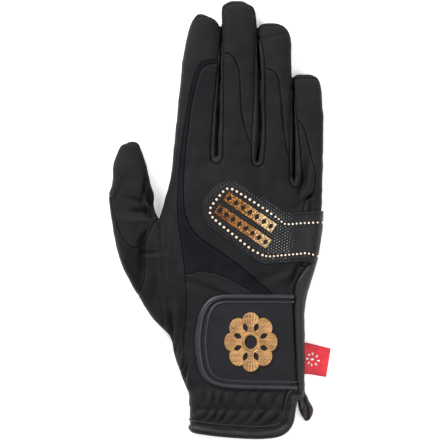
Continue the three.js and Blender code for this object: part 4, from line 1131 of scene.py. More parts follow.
def rosetteField(xy):
    size = rosette["radius"]
    x, y = ((xy - rosette["centre"]) / (size, size * rosette["tall"])).T
    out, turn = np.hypot(x, y), np.arctan2(x, y)
    half = rosette["petals"] / 2
    field = out - (0.80 + 0.20 * np.abs(np.cos(half * turn)) ** 0.55)
    field = np.maximum(field, rosette["hole"] - out)
    turn = (turn + pi / 8) % (pi / 4) - pi / 8
    turn = pi / 8 - np.abs(turn)  # from the line between two petals
    middle = (rosette["slotFrom"] + rosette["slotTo"]) / 2
    reach = (rosette["slotTo"] - rosette["slotFrom"]) / 2
    share = np.clip(1 - ((out * np.cos(turn) - middle) / reach) ** 2, -1, 1)
    slot = rosette["slotHalf"] * share - out * np.sin(turn)
    return np.maximum(field, slot) * size


def makeRosette():
    halves = rosette["radius"] * np.array([1, rosette["tall"]])
    box = (rosette["centre"] - halves - 1, rosette["centre"] + halves + 1)
    patch = skinPatch(rosetteField, box, 2, (0.0, -0.2, -0.5))
    x, y = ((patch[0][:, :2] - rosette["centre"]) / halves).T
    out, turn = np.hypot(x, y), np.arctan2(x, y)
    vein = 0.05 * np.cos(48 * turn) * smoothStair((out - 0.4) / 0.2)
    ring = -0.28 * np.exp(-((out - 0.335) / 0.022) ** 2)
    dome = 0.35 * np.abs(np.cos(4 * turn)) * smoothStair((out - 0.35) / 0.3)
    obj = makeLayer("tab_rosette_foil", patch, rosette["low"], rosette["high"], foil, 0.3,
                    vein + ring + dome + 0.2)
    return finished(obj, "gold", "tab_rosette")


foil = foilMaterial("goldFoil", {"color": "#c89a66", "dark": "#9a7044", "roughness": 0.42,
                                 "metallic": 0.55, "specular": 0.5})
makeRosette()
print("rosette done")

# Knuckle patch: coated cloth that runs from the index knuckle round the little-finger side.
patchOutline = [(1.100, 0.523), (0.958, 0.521), (0.544, 0.518), (0.427, 0.529),
                (0.220, 0.552), (-0.026, 0.578), (-0.155, 0.588), (-0.298, 0.586),
                (-0.427, 0.571), (-0.537, 0.545), (-0.564, 0.523), (-0.524, 0.496),
                (-0.414, 0.477), (-0.168, 0.446), (0.083, 0.415), (0.181, 0.404),
                (0.285, 0.400), (0.730, 0.406), (0.828, 0.401), (0.912, 0.390),
                (1.100, 0.383)]
stoneLine = [(0.960, 0.495), (0.725, 0.493), (0.515, 0.491), (0.423, 0.503), (0.209, 0.529),
             (-0.012, 0.554), (-0.170, 0.570), (-0.257, 0.569), (-0.354, 0.550),
             (-0.440, 0.530), (-0.454, 0.518), (-0.434, 0.509), (-0.349, 0.4945),
             (-0.142, 0.465), (0.062, 0.436), (0.169, 0.425), (0.286, 0.418),
             (0.491, 0.4205), (0.700, 0.424), (0.789, 0.425), (0.900, 0.419)]
patchEdge = spline(place(patchOutline), 5)
stonePath = spline(place(stoneLine), 6)
patchLevels = {"low": 0.2, "top": 1.25, "stitchIn": 1.35, "stitchUp": -0.12}


def makePatch():
    patch = skinPatch(lambda xy: outlineField(xy, patchEdge), boxOf(patchEdge), 1,
                      (0.0, -0.3, -0.8, -1.3, -1.9), 4.0)
    co, _, _, d = patch
    border = -0.30 * np.exp(-((d - patchLevels["stitchIn"]) / 0.35) ** 2)
    bed = -0.18 * np.exp(-(lineDistance(co[:, :2], stonePath, 4.0) / 0.9) ** 2)
    obj = makeLayer("knuckle_patch_cloth", patch, patchLevels["low"], patchLevels["top"],
                    clothOf["coatedCloth"], 0.6, border + bed + 0.05 * waves(co, 5.0, 31))
    return finished(obj, "patch", "knuckle_patch")


makePatch()

# Gold rows on the patch: start, end, lozenge openings.
glitterRows = {
    "glitter_row_upper": ((-0.250, 0.555), (0.370, 0.481), 7),
    "glitter_row_lower": ((-0.370, 0.5265), (0.300, 0.4455), 8),
}
glitter = {"width": 5.9, "low": 1.2, "high": 1.75, "sequin": 0.62, "inset": 0.35}


def rowPlaces(row):
    start, end, count = glitterRows[row]
    start, end = place(start), place(end)
    run = end - start
    along = run / np.linalg.norm(run)
    side = np.array([-along[1], along[0]])
    return start, run, side, count


def rowField(row):
    start, run, side, count = rowPlaces(row)

    def at(share, out):
        return start + run * share + side * out * glitter["width"] / 2

    band = np.array([at(0, -1), at(1, -1), at(1, 1), at(0, 1)])
    holes = []
    for i in range(count):
        middle = (i + 0.5) / count
        reach = 0.30 / count
        holes.append(np.array([at(middle - reach, 0), at(middle, -0.62),
                               at(middle + reach, 0), at(middle, 0.62)]))

    def field(xy):
        value = outlineField(xy, band)
        for hole in holes:
            value = np.maximum(value, -outlineField(xy, hole))
        return value

    return field, band


# Glitter film: copper at the left turning to pale gold at the right, each flake tilted
# its own way and painted its own brightness, the brightest as painted glints.
def glitterMaterial(name, surface):
    material, tree, shader = newMaterial(name, surface)
    coord = coordOf(tree)
    x = addNode(tree, "ShaderNodeSeparateXYZ", links={"Vector": coord}).outputs["X"]
    shade = mapped(tree, x, {"From Min": 0.0, "From Max": 0.031})
    color = addRamp(tree, shade, [(0.0, surface["color"]), (0.5, "#a8763f"), (1.0, "#e6c79c")])
    flakes = addNode(tree, "ShaderNodeTexVoronoi", {"feature": "F1"},
                     {"Scale": 1000 / surface["flake"]}, {"Vector": coord})
    # painted glints: each flake its own brightness, up to almost twice the colour
    paintedFlakeGlint = addRamp(tree, flakes.outputs["Color"], [(0.2, 0.35), (0.6, 0.9), (0.9, 1.9)])
    painted(tree, shader, multiplied(tree, color, paintedFlakeGlint))
    addBump(tree, shader, flakes.outputs["Distance"], 0.8, 0.3)
    return material


glitterFilm = glitterMaterial("glitterFilm", {"color": "#744826", "roughness": 0.32,
                                              "metallic": 0.7, "flake": 0.55})
for name in glitterRows:
    field, band = rowField(name)
    patch = skinPatch(field, boxOf(band), 2, (0.0, -0.2))
    obj = makeLayer(name + "_film", patch, glitter["low"], glitter["high"], glitterFilm, 0.25)
    finished(obj, "glitter", name)
print("patch and glitter rows done")


# Geometry Nodes trees for what repeats. The field tree puts a piece on every point of a
# mesh; the row tree runs a curve along the mesh's edges and puts pieces on it at a pitch.
# Points carry the way the surface faces and, in the field, a direction along it.
def repeatTree(name, alongCurve):
    tree = bpy.data.node_groups.new(name, "GeometryNodeTree")
    sockets = [("Geometry", "NodeSocketGeometry"), ("Piece", "NodeSocketObject"),
               ("Finish", "NodeSocketMaterial"), ("Pitch", "NodeSocketFloat"),
               ("Unevenness", "NodeSocketFloat"), ("Tilt", "NodeSocketFloat"),
               ("Seed", "NodeSocketInt")]
    for label, kind in sockets:
        tree.interface.new_socket(label, in_out="INPUT", socket_type=kind)
    tree.interface.new_socket("Geometry", in_out="OUTPUT", socket_type="NodeSocketGeometry")
    given = addNode(tree, "NodeGroupInput").outputs
    points = given["Geometry"]
    along, facing, size = (
        addNode(tree, "GeometryNodeInputNamedAttribute", {"data_type": kind}, {"Name": key}).outputs[0]
        for key, kind in (("along", "FLOAT_VECTOR"), ("facing", "FLOAT_VECTOR"), ("size", "FLOAT")))
    if alongCurve:
        curve = addNode(tree, "GeometryNodeMeshToCurve", links={"Mesh": points})
        points = addNode(tree, "GeometryNodeResampleCurve", {"mode": "LENGTH"},
                         links={"Curve": curve.outputs[0], "Length": given["Pitch"]}).outputs[0]
        along = addNode(tree, "GeometryNodeInputTangent").outputs[0]
    turn = addNode(tree, "FunctionNodeAxesToRotation",
                   {"primary_axis": "Z", "secondary_axis": "X"}, None,
                   {"Primary Axis": facing, "Secondary Axis": along}).outputs[0]
    less = calc(tree, "SUBTRACT", 1.0, given["Unevenness"])
    more = calc(tree, "ADD", 1.0, given["Unevenness"])
    uneven = addNode(tree, "FunctionNodeRandomValue", {"data_type": "FLOAT"}, None,
                     {2: less, 3: more, 8: given["Seed"]}).outputs[1]
    scale = calc(tree, "MULTIPLY", uneven, size)
    piece = addNode(tree, "GeometryNodeObjectInfo", links={"Object": given["Piece"]})
    placed = addNode(tree, "GeometryNodeInstanceOnPoints", None, None, {
        "Points": points, "Instance": piece.outputs["Geometry"], "Rotation": turn,
        "Scale": scale})
    back = calc(tree, "MULTIPLY", given["Tilt"], -1.0)
    lean = addNode(tree, "FunctionNodeRandomValue", {"data_type": "FLOAT_VECTOR"}, None,
                   {0: back, 1: given["Tilt"], 8: given["Seed"]}).outputs[0]
    leant = addNode(tree, "GeometryNodeRotateInstances", None, None,
                    {"Instances": placed.outputs[0], "Rotation": lean})
    real = addNode(tree, "GeometryNodeRealizeInstances", links={"Geometry": leant.outputs[0]})
    coated = addNode(tree, "GeometryNodeSetMaterial", None, None,
                     {"Geometry": real.outputs[0], "Material": given["Finish"]})
    addNode(tree, "NodeGroupOutput", links={"Geometry": coated.outputs[0]})
    return tree


rowTree = repeatTree("rowAlongPath", True)
fieldTree = repeatTree("fieldOfPoints", False)


def vectorAttribute(mesh, name, values):
    mesh.attributes.new(name, "FLOAT_VECTOR", "POINT").data.foreach_set(
        "vector", np.ascontiguousarray(values, np.float32).ravel())


# Runs one of the two trees on points in millimetres and returns a plain mesh object.
def repeated(name, tree, points, facing, piece, material, pitch=1.0, uneven=0.0, tilt=0.0,
             seed=1, edges=(), along=None, size=None, smooth=False):
    mesh = bpy.data.meshes.new(name)
    mesh.from_pydata([tuple(p) for p in np.array(points) / 1000], list(edges), [])
    vectorAttribute(mesh, "facing", facing)
    along = np.tile((1, 0, 0), (len(points), 1)) if along is None else along
    vectorAttribute(mesh, "along", along)
    sizes = np.ones(len(points)) if size is None else size
    mesh.attributes.new("size", "FLOAT", "POINT").data.foreach_set(
        "value", np.ascontiguousarray(sizes, np.float32))
    carrier = linked(name, mesh)
    modifier = carrier.modifiers.new("repeat", "NODES")
    modifier.node_group = tree
    wanted = {"Piece": piece, "Finish": material, "Pitch": pitch / 1000, "Unevenness": uneven,
              "Tilt": tilt, "Seed": seed}
    for item in tree.interface.items_tree:
        if item.in_out == "INPUT" and item.name in wanted:
            modifier[item.identifier] = wanted[item.name]
    graph = bpy.context.evaluated_depsgraph_get()
    made = bpy.data.meshes.new_from_object(carrier.evaluated_get(graph))
    bpy.data.objects.remove(carrier)
    made.name = name
    made.polygons.foreach_set("use_smooth", np.full(len(made.polygons), smooth))
    return linked(name, made)


# A small closed template for the trees, from rings of points one above the other.
def templatePiece(name, co, rings, sides):
    faces = ringFaces(rings, sides) + [tuple(range(sides))[::-1]]
    faces.append(tuple((rings - 1) * sides + i for i in range(sides)))
    mesh = bpy.data.meshes.new(name)
    mesh.from_pydata([tuple(np.array(p) / 1000) for p in co], [], faces)
    return linked(name, mesh)


# Rings of (radius, height) with a number of sides.
def turnedPiece(name, rings, sides, squash=1.0):
    turn = 2 * pi * (np.arange(sides) + 0.5) / sides
    co = [(np.cos(t) * radius, np.sin(t) * radius * squash, height)
          for radius, height in rings for t in turn]
    return templatePiece(name, co, len(rings), sides)


# A stitch: a thread that comes up, lies along the run and goes down again.
def stitchPiece(length, radius):
    sides, rings = 6, 7
    co = []
    for share in np.linspace(0, 1, rings):
        x = (share - 0.5) * length
        arch = max(np.sin(pi * share), 0)
        z = radius * 1.2 * arch ** 0.6 - radius * 0.7
        thick = radius * (0.55 + 0.45 * arch ** 0.5)
        for t in 2 * pi * np.arange(sides) / sides:
            co.append((x, np.cos(t) * thick, z + np.sin(t) * thick))
    return templatePiece("stitch", co, rings, sides)


# Metal and thread finishes for the small pieces: colour varied over the field, fine
# scratches or twist in the bump.
def smallMaterial(name, surface):
    material, tree, shader = newMaterial(name, surface)
    coord = coordOf(tree)
    blotch = noise(tree, coord, surface.get("blotch", 3.0), 3.0)
    painted(tree, shader, addRamp(tree, blotch, [(0.35, surface["dark"]), (0.65, surface["color"])]))
    grain = noise(tree, coord, surface.get("grain", 0.3), 2.0)
    addBump(tree, shader, grain, surface.get("bump", 0.1), 0.1)
    return material


smallFinishes = {
    # foil-backed cut glass: sharp glints in pale gold
    "cutCrystal": {"color": "#fffaf2", "dark": "#ffe9cc", "roughness": 0.15, "metallic": 0.1,
                   "coat": 1.0, "coatRoughness": 0.03, "bump": 0.02},
    # gilt brass cups that hold the stones: warm and bright
    "giltSetting": {"color": "#8f6c46", "dark": "#5f4022", "roughness": 0.38, "metallic": 1.0},
    # silver-grey rubber dots printed on the patch
    "silverDot": {"color": "#9a9da1", "dark": "#6d7074", "roughness": 0.3, "metallic": 0.7},
    # bonded polyester sewing thread, near black with a light catch on its crown
    "sewingThread": {"color": "#212123", "dark": "#161618", "roughness": 0.5, "specular": 0.2,
                     "grain": 0.35, "bump": 0.3},
    # darker thread in the tab's groove
    "blackThread": {"color": "#131315", "dark": "#0c0c0d", "roughness": 0.5, "grain": 0.35,
                    "bump": 0.3},
    # white rayon of the label's motif
    "whiteThread": {"color": "#fff4f2", "dark": "#f6dcda", "roughness": 0.5, "sheen": 0.2,
                    "sheenTint": "#ffffff", "grain": 0.3, "bump": 0.3},
}
smallOf = {name: smallMaterial(name, surface) for name, surface in smallFinishes.items()}

# Stones: from, to (shares of the line), pitch, size.
stoneRuns = [(0.0, 0.185, 2.08, 0.84), (0.205, 0.385, 2.67, 1.06), (0.405, 0.545, 2.45, 1.0),
             (0.563, 0.79, 2.72, 1.06), (0.805, 1.0, 2.06, 0.86)]
stone = {"girdle": 0.72, "table": 0.44, "high": 0.60, "cup": 0.85}


def makeStones():
    girdle, cupRadius = stone["girdle"], stone["cup"]
    brilliant = turnedPiece("brilliant", [(girdle * 0.8, -0.10), (girdle, 0.12),
                                          (girdle * 0.86, 0.36), (stone["table"], stone["high"])], 8)
    cup = turnedPiece("cup", [(cupRadius * 0.95, -0.30), (cupRadius, 0.0),
                              (cupRadius * 0.96, 0.20), (girdle * 0.98, 0.24),
                              (girdle * 0.7, 0.0)], 10)
    length = lengthsOf(stonePath)
    spots, sizes = [], []
    for start, end, pitch, size in stoneRuns:
        first, last = start * length[-1], end * length[-1]
        count = int((last - first) / pitch) + 1
        for mark in np.linspace(first, last, count):
            spots.append([np.interp(mark, length, stonePath[:, k]) for k in (0, 1)])
            sizes.append(size)
    points, facing = surfaceAt(np.array(spots))
    raised = points + facing * (patchLevels["top"] + 0.02)
    sizes = np.array(sizes)
    stones = repeated("crystal_trim_stones", fieldTree, raised, facing, brilliant,
                      smallOf["cutCrystal"], uneven=0.05, tilt=0.20, seed=4, size=sizes)
    cups = repeated("crystal_trim_settings", fieldTree, raised, facing, cup,
                    smallOf["giltSetting"], uneven=0.03, tilt=0.05, seed=5, size=sizes)
    for template in (brilliant, cup):
        bpy.data.objects.remove(template)
    finished(stones, "crystal", "crystal_trim")
    finished(cups, "crystal")
    print("stones:", len(spots))


makeStones()


# Lattice of printed dots on the margins of the patch and past the ends of the gold rows.
dots = {"pitch": 1.62, "radius": 0.35, "fadeFrom": 36.0, "fadeTo": 43.0, "rows": 40,
        "strongFrom": 20.0, "fromEdge": 0.7, "fromStones": 1.25, "fromGold": 0.45,
        "margin": 2.6, "faintest": 0.25}


def makeDots():
    start, run, side, _ = rowPlaces("glitter_row_upper")
    along = run / np.linalg.norm(run)
    steps = np.arange(-dots["rows"], dots["rows"] + 1)
    u, w = np.meshgrid(steps * dots["pitch"], steps * dots["pitch"])
    # a diamond lattice: every second row is half a step on
    u = u + np.where(np.arange(len(steps))[:, None] % 2 == 0, 0, dots["pitch"] / 2)
    xy = start + u.reshape(-1, 1) * along + w.reshape(-1, 1) * side * 0.87
    edge = -outlineField(xy, patchEdge, 8.0)
    keep = (edge > dots["fromEdge"]) & (lineDistance(xy, stonePath, 4.0) > dots["fromStones"])
    for row in glitterRows:
        keep &= outlineField(xy, rowField(row)[1]) > dots["fromGold"]
    xy = xy[keep]
    fade = 1 - smoothStair((xy[:, 0] - dots["fadeFrom"]) / (dots["fadeTo"] - dots["fadeFrom"]))
    strong = smoothStair((xy[:, 0] - dots["strongFrom"]) / 8)
    margin = lineDistance(xy, patchEdge, 6.0) < dots["margin"]
    upperMargin = margin & (xy[:, 1] > 12 - 0.6 * (xy[:, 0] - 10))
    lowerMargin = margin & (xy[:, 1] < -15)
    size = fade * np.where(upperMargin, 0.85, np.where(lowerMargin, 0.55, 0.45 + 0.55 * strong))
    xy, size = xy[size > dots["faintest"]], size[size > dots["faintest"]]
    points, facing = surfaceAt(xy)
    dome = turnedPiece("dot", [(dots["radius"], -0.12), (dots["radius"] * 0.9, 0.10),
                               (dots["radius"] * 0.5, 0.20)], 6)
    obj = repeated("knuckle_patch_dots", fieldTree, points + facing * patchLevels["top"],
                   facing, dome, smallOf["silverDot"], uneven=0.12, seed=7, size=size)
    bpy.data.objects.remove(dome)
    print("dots:", len(xy))
    return finished(obj, "patch")


makeDots()


# Sequins over the glitter rows, each with its own tilt so that some of them flash.
def makeSequins():
    disc = turnedPiece("sequin", [(0.33, 0.0), (0.36, 0.05), (0.30, 0.10)], 6)
    for name in glitterRows:
        field, band = rowField(name)
        start, run, side, _ = rowPlaces(name)
        along = run / np.linalg.norm(run)
        length = np.linalg.norm(run)
        step, inset, half = glitter["sequin"], glitter["inset"], glitter["width"] / 2
        spots = []
        for r, out in enumerate(np.arange(inset - half, half, step * 0.87)):
            for go in np.arange(inset + (r % 2) * step / 2, length - 0.3, step):
                spots.append(start + along * go + side * out)
        spots = np.array(spots)
        spots = spots[field(spots) < -0.22]
        points, facing = surfaceAt(spots)
        obj = repeated(name + "_sequins", fieldTree, points + facing * (glitter["high"] - 0.02),
                       facing, disc, glitterFilm, uneven=0.15, tilt=0.30, seed=9)
        finished(obj, "glitter")
        print("sequins:", len(spots))
    bpy.data.objects.remove(disc)


makeSequins()

# The mouth's edge as one closed line of points on the skin, with the way the skin faces.
def mouthLoop():
    edges = borderEdges(skinTri[owner != ""])
    following = {a: b for a, b in edges}
    start = edges[0][0]
    chain, here = [start], following[start]
    while here != start and here in following:
        chain.append(here)
        here = following[here]
    loop = resampled(skin[chain, :3], 0.9, closed=True)
    for _ in range(4):
        loop = (np.roll(loop, 1, axis=0) + 2 * loop + np.roll(loop, -1, axis=0)) / 4
    normals = []
    for p in loop:
        _, _, index, _ = restTree.find_nearest(Vector(p))
        normals.append(wholeSkin[wholeTri[index], 6:9].mean(0))
    normals = np.array(normals)
    for _ in range(8):
        normals = unit(np.roll(normals, 1, axis=0) + normals + np.roll(normals, -1, axis=0))
    if np.cross(normals, closedRun(loop))[:, 1].sum() < 0:
        loop, normals = loop[::-1], normals[::-1]
    return loop, normals


# Binding of the mouth: a satin tape rolled round the cut edge, a sewn groove and the
# pressed ridge of the turned-in cloth above it. Profile: in from the cut, up.
hem = {
    "profile": [(4.1, 0.0), (4.0, 0.48), (3.6, 0.70), (3.1, 0.55), (2.7, 0.14), (1.7, 0.02),
                (1.0, 0.12), (0.6, 0.45), (0.1, 0.95), (-0.7, 1.25), (-1.6, 1.15),
                (-2.6, 0.60), (-3.3, -0.1), (-3.5, -0.7), (-3.1, -1.3), (-2.0, -1.75),
                (-0.8, -1.70), (0.2, -1.35), (1.2, -0.5)],
    # painted highlights on the roll and ridge, painted shade in the groove, 4 mm outside to 6 mm
    # inside
    "groove": [(0.10, 0.25), (0.24, 0.55), (0.30, 1.1), (0.42, 1.15), (0.47, 0.35), (0.50, 0.2),
               (0.65, 0.2), (0.69, 0.8), (0.76, 1.25), (0.82, 0.8)],
    "stitchIn": 1.8, "stitchUp": 0.16,
}
hemSatin = satinMaterial("hemTape", {"color": "#1f1e21", "dark": "#161519", "roughness": 0.5,
                                     "specular": 0.28, "rib": 1.0, "groove": hem["groove"]})
mouth = mouthLoop()
finished(sweep("hem_binding_roll", None, hem["profile"], hemSatin, closed=True, frameOf=mouth),
         "binding", "hem_binding")
print("hem done")

# End of the palm leather below the roll: along, left, right, high.
lobe = {"rows": [(0.107, 0.700, 0.772, 1.35), (0.1005, 0.690, 0.784, 1.45),
                 (0.085, 0.682, 0.832, 1.10), (0.074, 0.688, 0.864, 1.04),
                 (0.064, 0.702, 0.880, 1.04), (0.055, 0.722, 0.878, 0.96),
                 (0.048, 0.742, 0.866, 0.82), (0.042, 0.764, 0.846, 0.60),
                 (0.038, 0.786, 0.820, 0.36)],
        "profile": [(0, 0), (0.45, 0), (0.86, 0.05), (1.0, 0.45), (0.86, 0.82), (0.5, 0.98),
                    (0.12, 0.80), (-0.2, 0.95), (-0.6, 1.0), (-0.9, 0.75), (-1.0, 0.40),
                    (-0.84, 0.05), (-0.45, 0)],
        "thickness": 3.2}


# Grain leather: brown-black, pebbled; painted highlight higher up, painted shade below.
def leatherMaterial(name, surface):
    material, tree, shader = newMaterial(name, surface)
    coord = coordOf(tree)
    z = addNode(tree, "ShaderNodeSeparateXYZ", links={"Vector": coord}).outputs["Z"]
    # painted highlight higher up, painted shade lower down
    wearAndPaintedLight = mapped(tree, z, {"From Min": 0.002, "From Max": 0.0036})
    blotch = noise(tree, coord, 2.5)
    color = addRamp(tree, calc(tree, "MULTIPLY", wearAndPaintedLight, blotch),
                    [(0.1, surface["dark"]), (0.6, surface["color"])])
    painted(tree, shader, color)
    pebble = addNode(tree, "ShaderNodeTexVoronoi", {"feature": "F1"}, {"Scale": 1400.0},
                     {"Vector": coord}).outputs["Distance"]
    addBump(tree, shader, calc(tree, "ADD", pebble, noise(tree, coord, 3.0)), 0.5, 0.25)
    return material


def makeLobe():
    rows = spline(lobe["rows"], 5)
    profile = spline(lobe["profile"] + lobe["profile"][:1], 3)[:-1]
    co = []
    for along, left, right, high in rows:
        a, b = place([(left, along), (right, along)])
        xy = a + (b - a) * ((profile[:, :1] + 1) / 2)
        co.append(np.column_stack([xy, profile[:, 1] * high * lobe["thickness"]]))
    co = np.array(co)
    count, size = co.shape[:2]
    faces = inTriangles(ringFaces(count, size))
    flat = np.vstack([co.reshape(-1, 3), co[0].mean(0), co[-1].mean(0)])
    for i in range(size):
        faces.append(((i + 1) % size, i, len(flat) - 2))
        last = (count - 1) * size
        faces.append((last + i, last + (i + 1) % size, len(flat) - 1))
    tri = np.array(faces)
    normal = normalsOf(flat, tri)
    if (normal * (flat - flat.mean(0))).sum() < 0:
        tri, normal = tri[:, ::-1], -normal
    flat = flat + normal * (0.16 * waves(flat * (1, 0.3, 1), 2.2, 41))[:, None]
    flat[:, 2] = np.maximum(flat[:, 2], 0)
    leather = leatherMaterial("grainLeather", {"color": "#382b25", "dark": "#15100e",
                                               "roughness": 0.5, "specular": 0.4})
    return finished(meshObject("hem_lobe_leather", flat, tri, leather), "lobe", "hem_lobe")


makeLobe()

# Woven label sewn into the side seam: across, top, bottom, level of its upper face.
label = {"rows": [(0.722, 0.2195, 0.1475, 3.3), (0.748, 0.219, 0.147, 3.1),
                  (0.830, 0.217, 0.146, 2.75), (0.900, 0.214, 0.145, 2.25),
                  (1.000, 0.2095, 0.142, 1.7), (1.113, 0.205, 0.139, 1.15)],
         "thickness": 0.75, "flat": (0.0172, 0.0166), "motif": (0.56, 0.50), "ring": 3.2}


# Satin-woven ribbon: fine weft ribs, a plain selvedge line along both edges.
def ribbonMaterial(name, surface):
    material, tree, shader = newMaterial(name, surface)
    coord = coordOf(tree)
    weft = bands(tree, coord, "Y", 0.7, 0.3)
    warp = bands(tree, coord, "X", 0.9, 0.3)
    weave = calc(tree, "MAXIMUM", weft, warp)
    color = addRamp(tree, noise(tree, coord, 4.0), [(0.3, surface["dark"]), (0.7, surface["color"])])
    color = multiplied(tree, color, addRamp(tree, weave, [(0.2, 0.8), (0.8, 1.05)]), 0.6)
    selvedge = addRamp(tree, attributeOf(tree, "edge"),
                       [(0.02, 0.7), (0.08, 1.0), (0.12, 0.8), (0.16, 1.0)])
    painted(tree, shader, multiplied(tree, color, selvedge))
    addBump(tree, shader, weave, 0.4, 0.12)
    return material


def labelPoint(u, v):
    rows = spline(label["rows"], 6)
    at = np.clip(u, 0, 1) * (len(rows) - 1)
    across, top, bottom, level = (np.interp(at, np.arange(len(rows)), rows[:, k]) for k in range(4))
    across = across - 0.06 * u * (1 - v)
    along = bottom + (top - bottom) * v
    xy = place(np.column_stack([across, along]))
    z = level + 0.30 * np.sin(pi * v) * u + 0.12 * np.sin(5 * u + 3 * v)
    return np.column_stack([xy, z])


def makeLabel():
    n = 40
    u, v = (g.ravel() for g in np.meshgrid(np.linspace(0, 1, n), np.linspace(0, 1, n)))
    top = labelPoint(u, v)
    rim = np.minimum(np.minimum(v, 1 - v) * 17, (1 - u) * 15)
    turned = 0.30 * (1 - np.sqrt(np.clip(1 - (1 - np.clip(rim / 0.5, 0, 1)) ** 2, 0, 1)))
    low = top - (0, 0, 1) * (label["thickness"] - turned)[:, None]
    top = top - (0, 0, 1) * turned[:, None]
    i = (np.arange(n - 1)[:, None] * n + np.arange(n - 1)).ravel()
    tri = np.vstack([np.column_stack([i, i + 1, i + n + 1]), np.column_stack([i, i + n + 1, i + n])])
    low[:, 2] = np.maximum(low[:, 2], 0.02)
    co, tri = walled(top, low, tri)
    ribbon = ribbonMaterial("wovenRibbon", {"color": "#f03844", "dark": "#d42a38", "roughness": 0.55,
                                            "sheen": 0.15, "sheenTint": "#ff9aa0", "specular": 0.3})
    obj = meshObject("side_label_ribbon", co, tri, ribbon,
                     {"edge": np.tile(np.minimum(v, 1 - v), 2)})
    finished(obj, "label", "side_label")
    # plain motif: a ring of eight petals and a dot
    petal = turnedPiece("petal", [(0.78, -0.05), (0.85, 0.08), (0.60, 0.16)], 10, 0.62)
    turn = np.arange(8) * pi / 4
    middleU, middleV = label["motif"]
    high, wide = np.array(label["flat"]) * 1000
    ringU = np.append(middleU + label["ring"] / wide * np.cos(turn), middleU)
    ringV = np.append(middleV + label["ring"] / high * np.sin(turn), middleV)
    spots = labelPoint(ringU, ringV)
    along = np.vstack([np.column_stack([np.cos(turn), np.sin(turn), turn * 0]), [(1, 0, 0)]])
    size = np.array([1.0] * 8 + [1.3])
    motif = repeated("side_label_motif", fieldTree, spots, np.tile((0.12, 0, 1), (9, 1)), petal,
                     smallOf["whiteThread"], along=along, size=size, smooth=True)
    bpy.data.objects.remove(petal)
    finished(motif, "label")


makeLabel()
print("lobe and label done")

# Stitching: line, offset to its left, pitch, level above the cloth, panel it is sewn on.
stitchRuns = {
    "shield_stitches": ("shield", 1.25, 2.1, 0.32, "back_panel"),
    "index_stitches": ("index", -1.15, 2.2, 0.0, "index_panel"),
    "middle_stitches": ("middle", -1.35, 2.1, 0.32, "back_panel"),
    "ring_stitches": ("ring", -1.35, 2.1, 0.32, "back_panel"),
    "little_stitches": ("little", -1.35, 2.1, 0.32, "back_panel"),
    "wrist_stitches": ("wrist", -1.1, 2.2, 0.0, "wrist_panel"),
    "thumb_stitches": ("thumb", 1.15, 2.2, 0.0, "thumb_back"),
    "web_stitches": ("web", 2.3, 2.2, 0.0, "index_panel"),
    "web_outer_stitches": ("web", -1.0, 2.2, 0.0, "index_panel"),
}


def sewn(name, points, facing, thread, pitch, piece, seed):
    edges = [(i, i + 1) for i in range(len(points) - 1)]
    obj = repeated(name, rowTree, points, facing, piece, smallOf[thread], pitch=pitch,
                   uneven=0.06, tilt=0.04, seed=seed, edges=edges, smooth=True)
    return finished(obj, "binding" if thread == "blackThread" else "cloth")


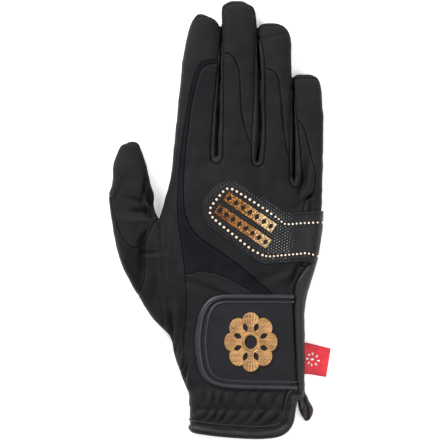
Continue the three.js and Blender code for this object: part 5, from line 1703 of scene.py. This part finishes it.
def makeStitches():
    thin = stitchPiece(1.55, 0.17)
    stout = stitchPiece(1.8, 0.30)
    foldTree = BVHTree.FromPolygons(skin[:, :3].tolist(), skinTri.tolist())
    for seed, (name, (seam, offset, pitch, level, panel)) in enumerate(stitchRuns.items()):
        path = resampled(shifted(spline(place(seams[seam]), 6), offset), pathStep)
        points, facing = surfaceAt(path)
        kept = []
        for i, (x, y) in enumerate(path):
            hit, _, index, _ = foldTree.ray_cast(Vector((x, y, overHead)), Vector((0, 0, -1)))
            if hit is not None and owner[index] == panel:
                points[i, 2] = hit.z
                kept.append(i)
        sewn(name, points[kept] + facing[kept] * (level + 0.03), facing[kept], "sewingThread", pitch,
             thin, 20 + seed)
    points, facing = surfaceAt(tabEdge)
    left = leftOf(facing, np.gradient(points, axis=0))
    path = points + left * (tab["stitchIn"] * tabWiden(left))[:, None] + facing * tab["stitchUp"]
    sewn("tab_stitches", path[2:-2], facing[2:-2], "blackThread", 2.4, stout, 31)
    loop, facing = mouth
    inside = loop + leftOf(facing, closedRun(loop)) * hem["stitchIn"]
    above = facing[:, 2] > 0.15
    first = np.nonzero(above & ~np.roll(above, 1))[0][0]
    path, facing = (np.roll(a, -first, axis=0)[:above.sum()] for a in (inside, facing))
    sewn("hem_stitches", path + facing * hem["stitchUp"], facing, "blackThread", 2.6, stout, 32)
    path = resampled(shifted(patchEdge, patchLevels["stitchIn"]), pathStep)
    path = path[outlineField(path, patchEdge, 4.0) < -1.2]
    points, facing = surfaceAt(path)
    path = points + facing * (patchLevels["top"] + patchLevels["stitchUp"])
    sewn("patch_stitches", path, facing, "sewingThread", 2.0, thin, 33)
    for piece in (thin, stout):
        bpy.data.objects.remove(piece)


makeStitches()
print("stitches done")

# Floor, light, camera.
# The photo looks straight down; 440 pixels cover 242 mm at the glove.
view = {"height": 1.30, "sensor": 36.0, "centre": (-0.00005, -0.00015),
        "plane": 0.007, "cover": 0.242, "floorHalf": 3.0, "floorLevel": -0.0004}
camera = bpy.data.cameras.new("camera")
camera.sensor_width = view["sensor"]
camera.lens = view["sensor"] * (view["height"] - view["plane"]) / view["cover"]
cameraObject = linked("camera", camera)
cameraObject.location = (*view["centre"], view["height"])
bpy.context.scene.camera = cameraObject

floorMesh = bpy.data.meshes.new("floor")
floorCorners = [(x * view["floorHalf"], y * view["floorHalf"], view["floorLevel"])
                for x, y in ((-1, -1), (1, -1), (1, 1), (-1, 1))]
floorMesh.from_pydata(floorCorners, [], [(0, 1, 2, 3)])
floor = linked("floor", floorMesh)
paper, _, paperShader = newMaterial("whitePaper", {"color": "#f4f4f4", "roughness": 0.9})
paperShader.inputs["Emission Color"].default_value = (1, 1, 1, 1)  # lit table, so hardly a shadow
paperShader.inputs["Emission Strength"].default_value = 0.38
floorMesh.materials.append(paper)

world = bpy.data.worlds.new("studio")
bpy.context.scene.world = world
world.use_nodes = True
world.node_tree.nodes["Background"].inputs["Color"].default_value = (1, 1, 1, 1)
world.node_tree.nodes["Background"].inputs["Strength"].default_value = 0.39
# name: place, aim, size, watts
lamps = {
    "keySoftbox": ((-0.75, 0.95, 0.75), (0, 0, 0), 0.55, 25.0),
    "fillSoftbox": ((0.7, -0.3, 1.05), (0, 0, 0), 0.9, 10.0),
}
for name, (spot, aim, size, power) in lamps.items():
    lamp = bpy.data.lights.new(name, "AREA")
    lamp.size, lamp.energy = size, power
    lampObject = linked(name, lamp)
    lampObject.location = spot
    lampObject.rotation_euler = (Vector(aim) - Vector(spot)).to_track_quat("-Z", "Y").to_euler()
bpy.context.scene.view_settings.view_transform = "Standard"
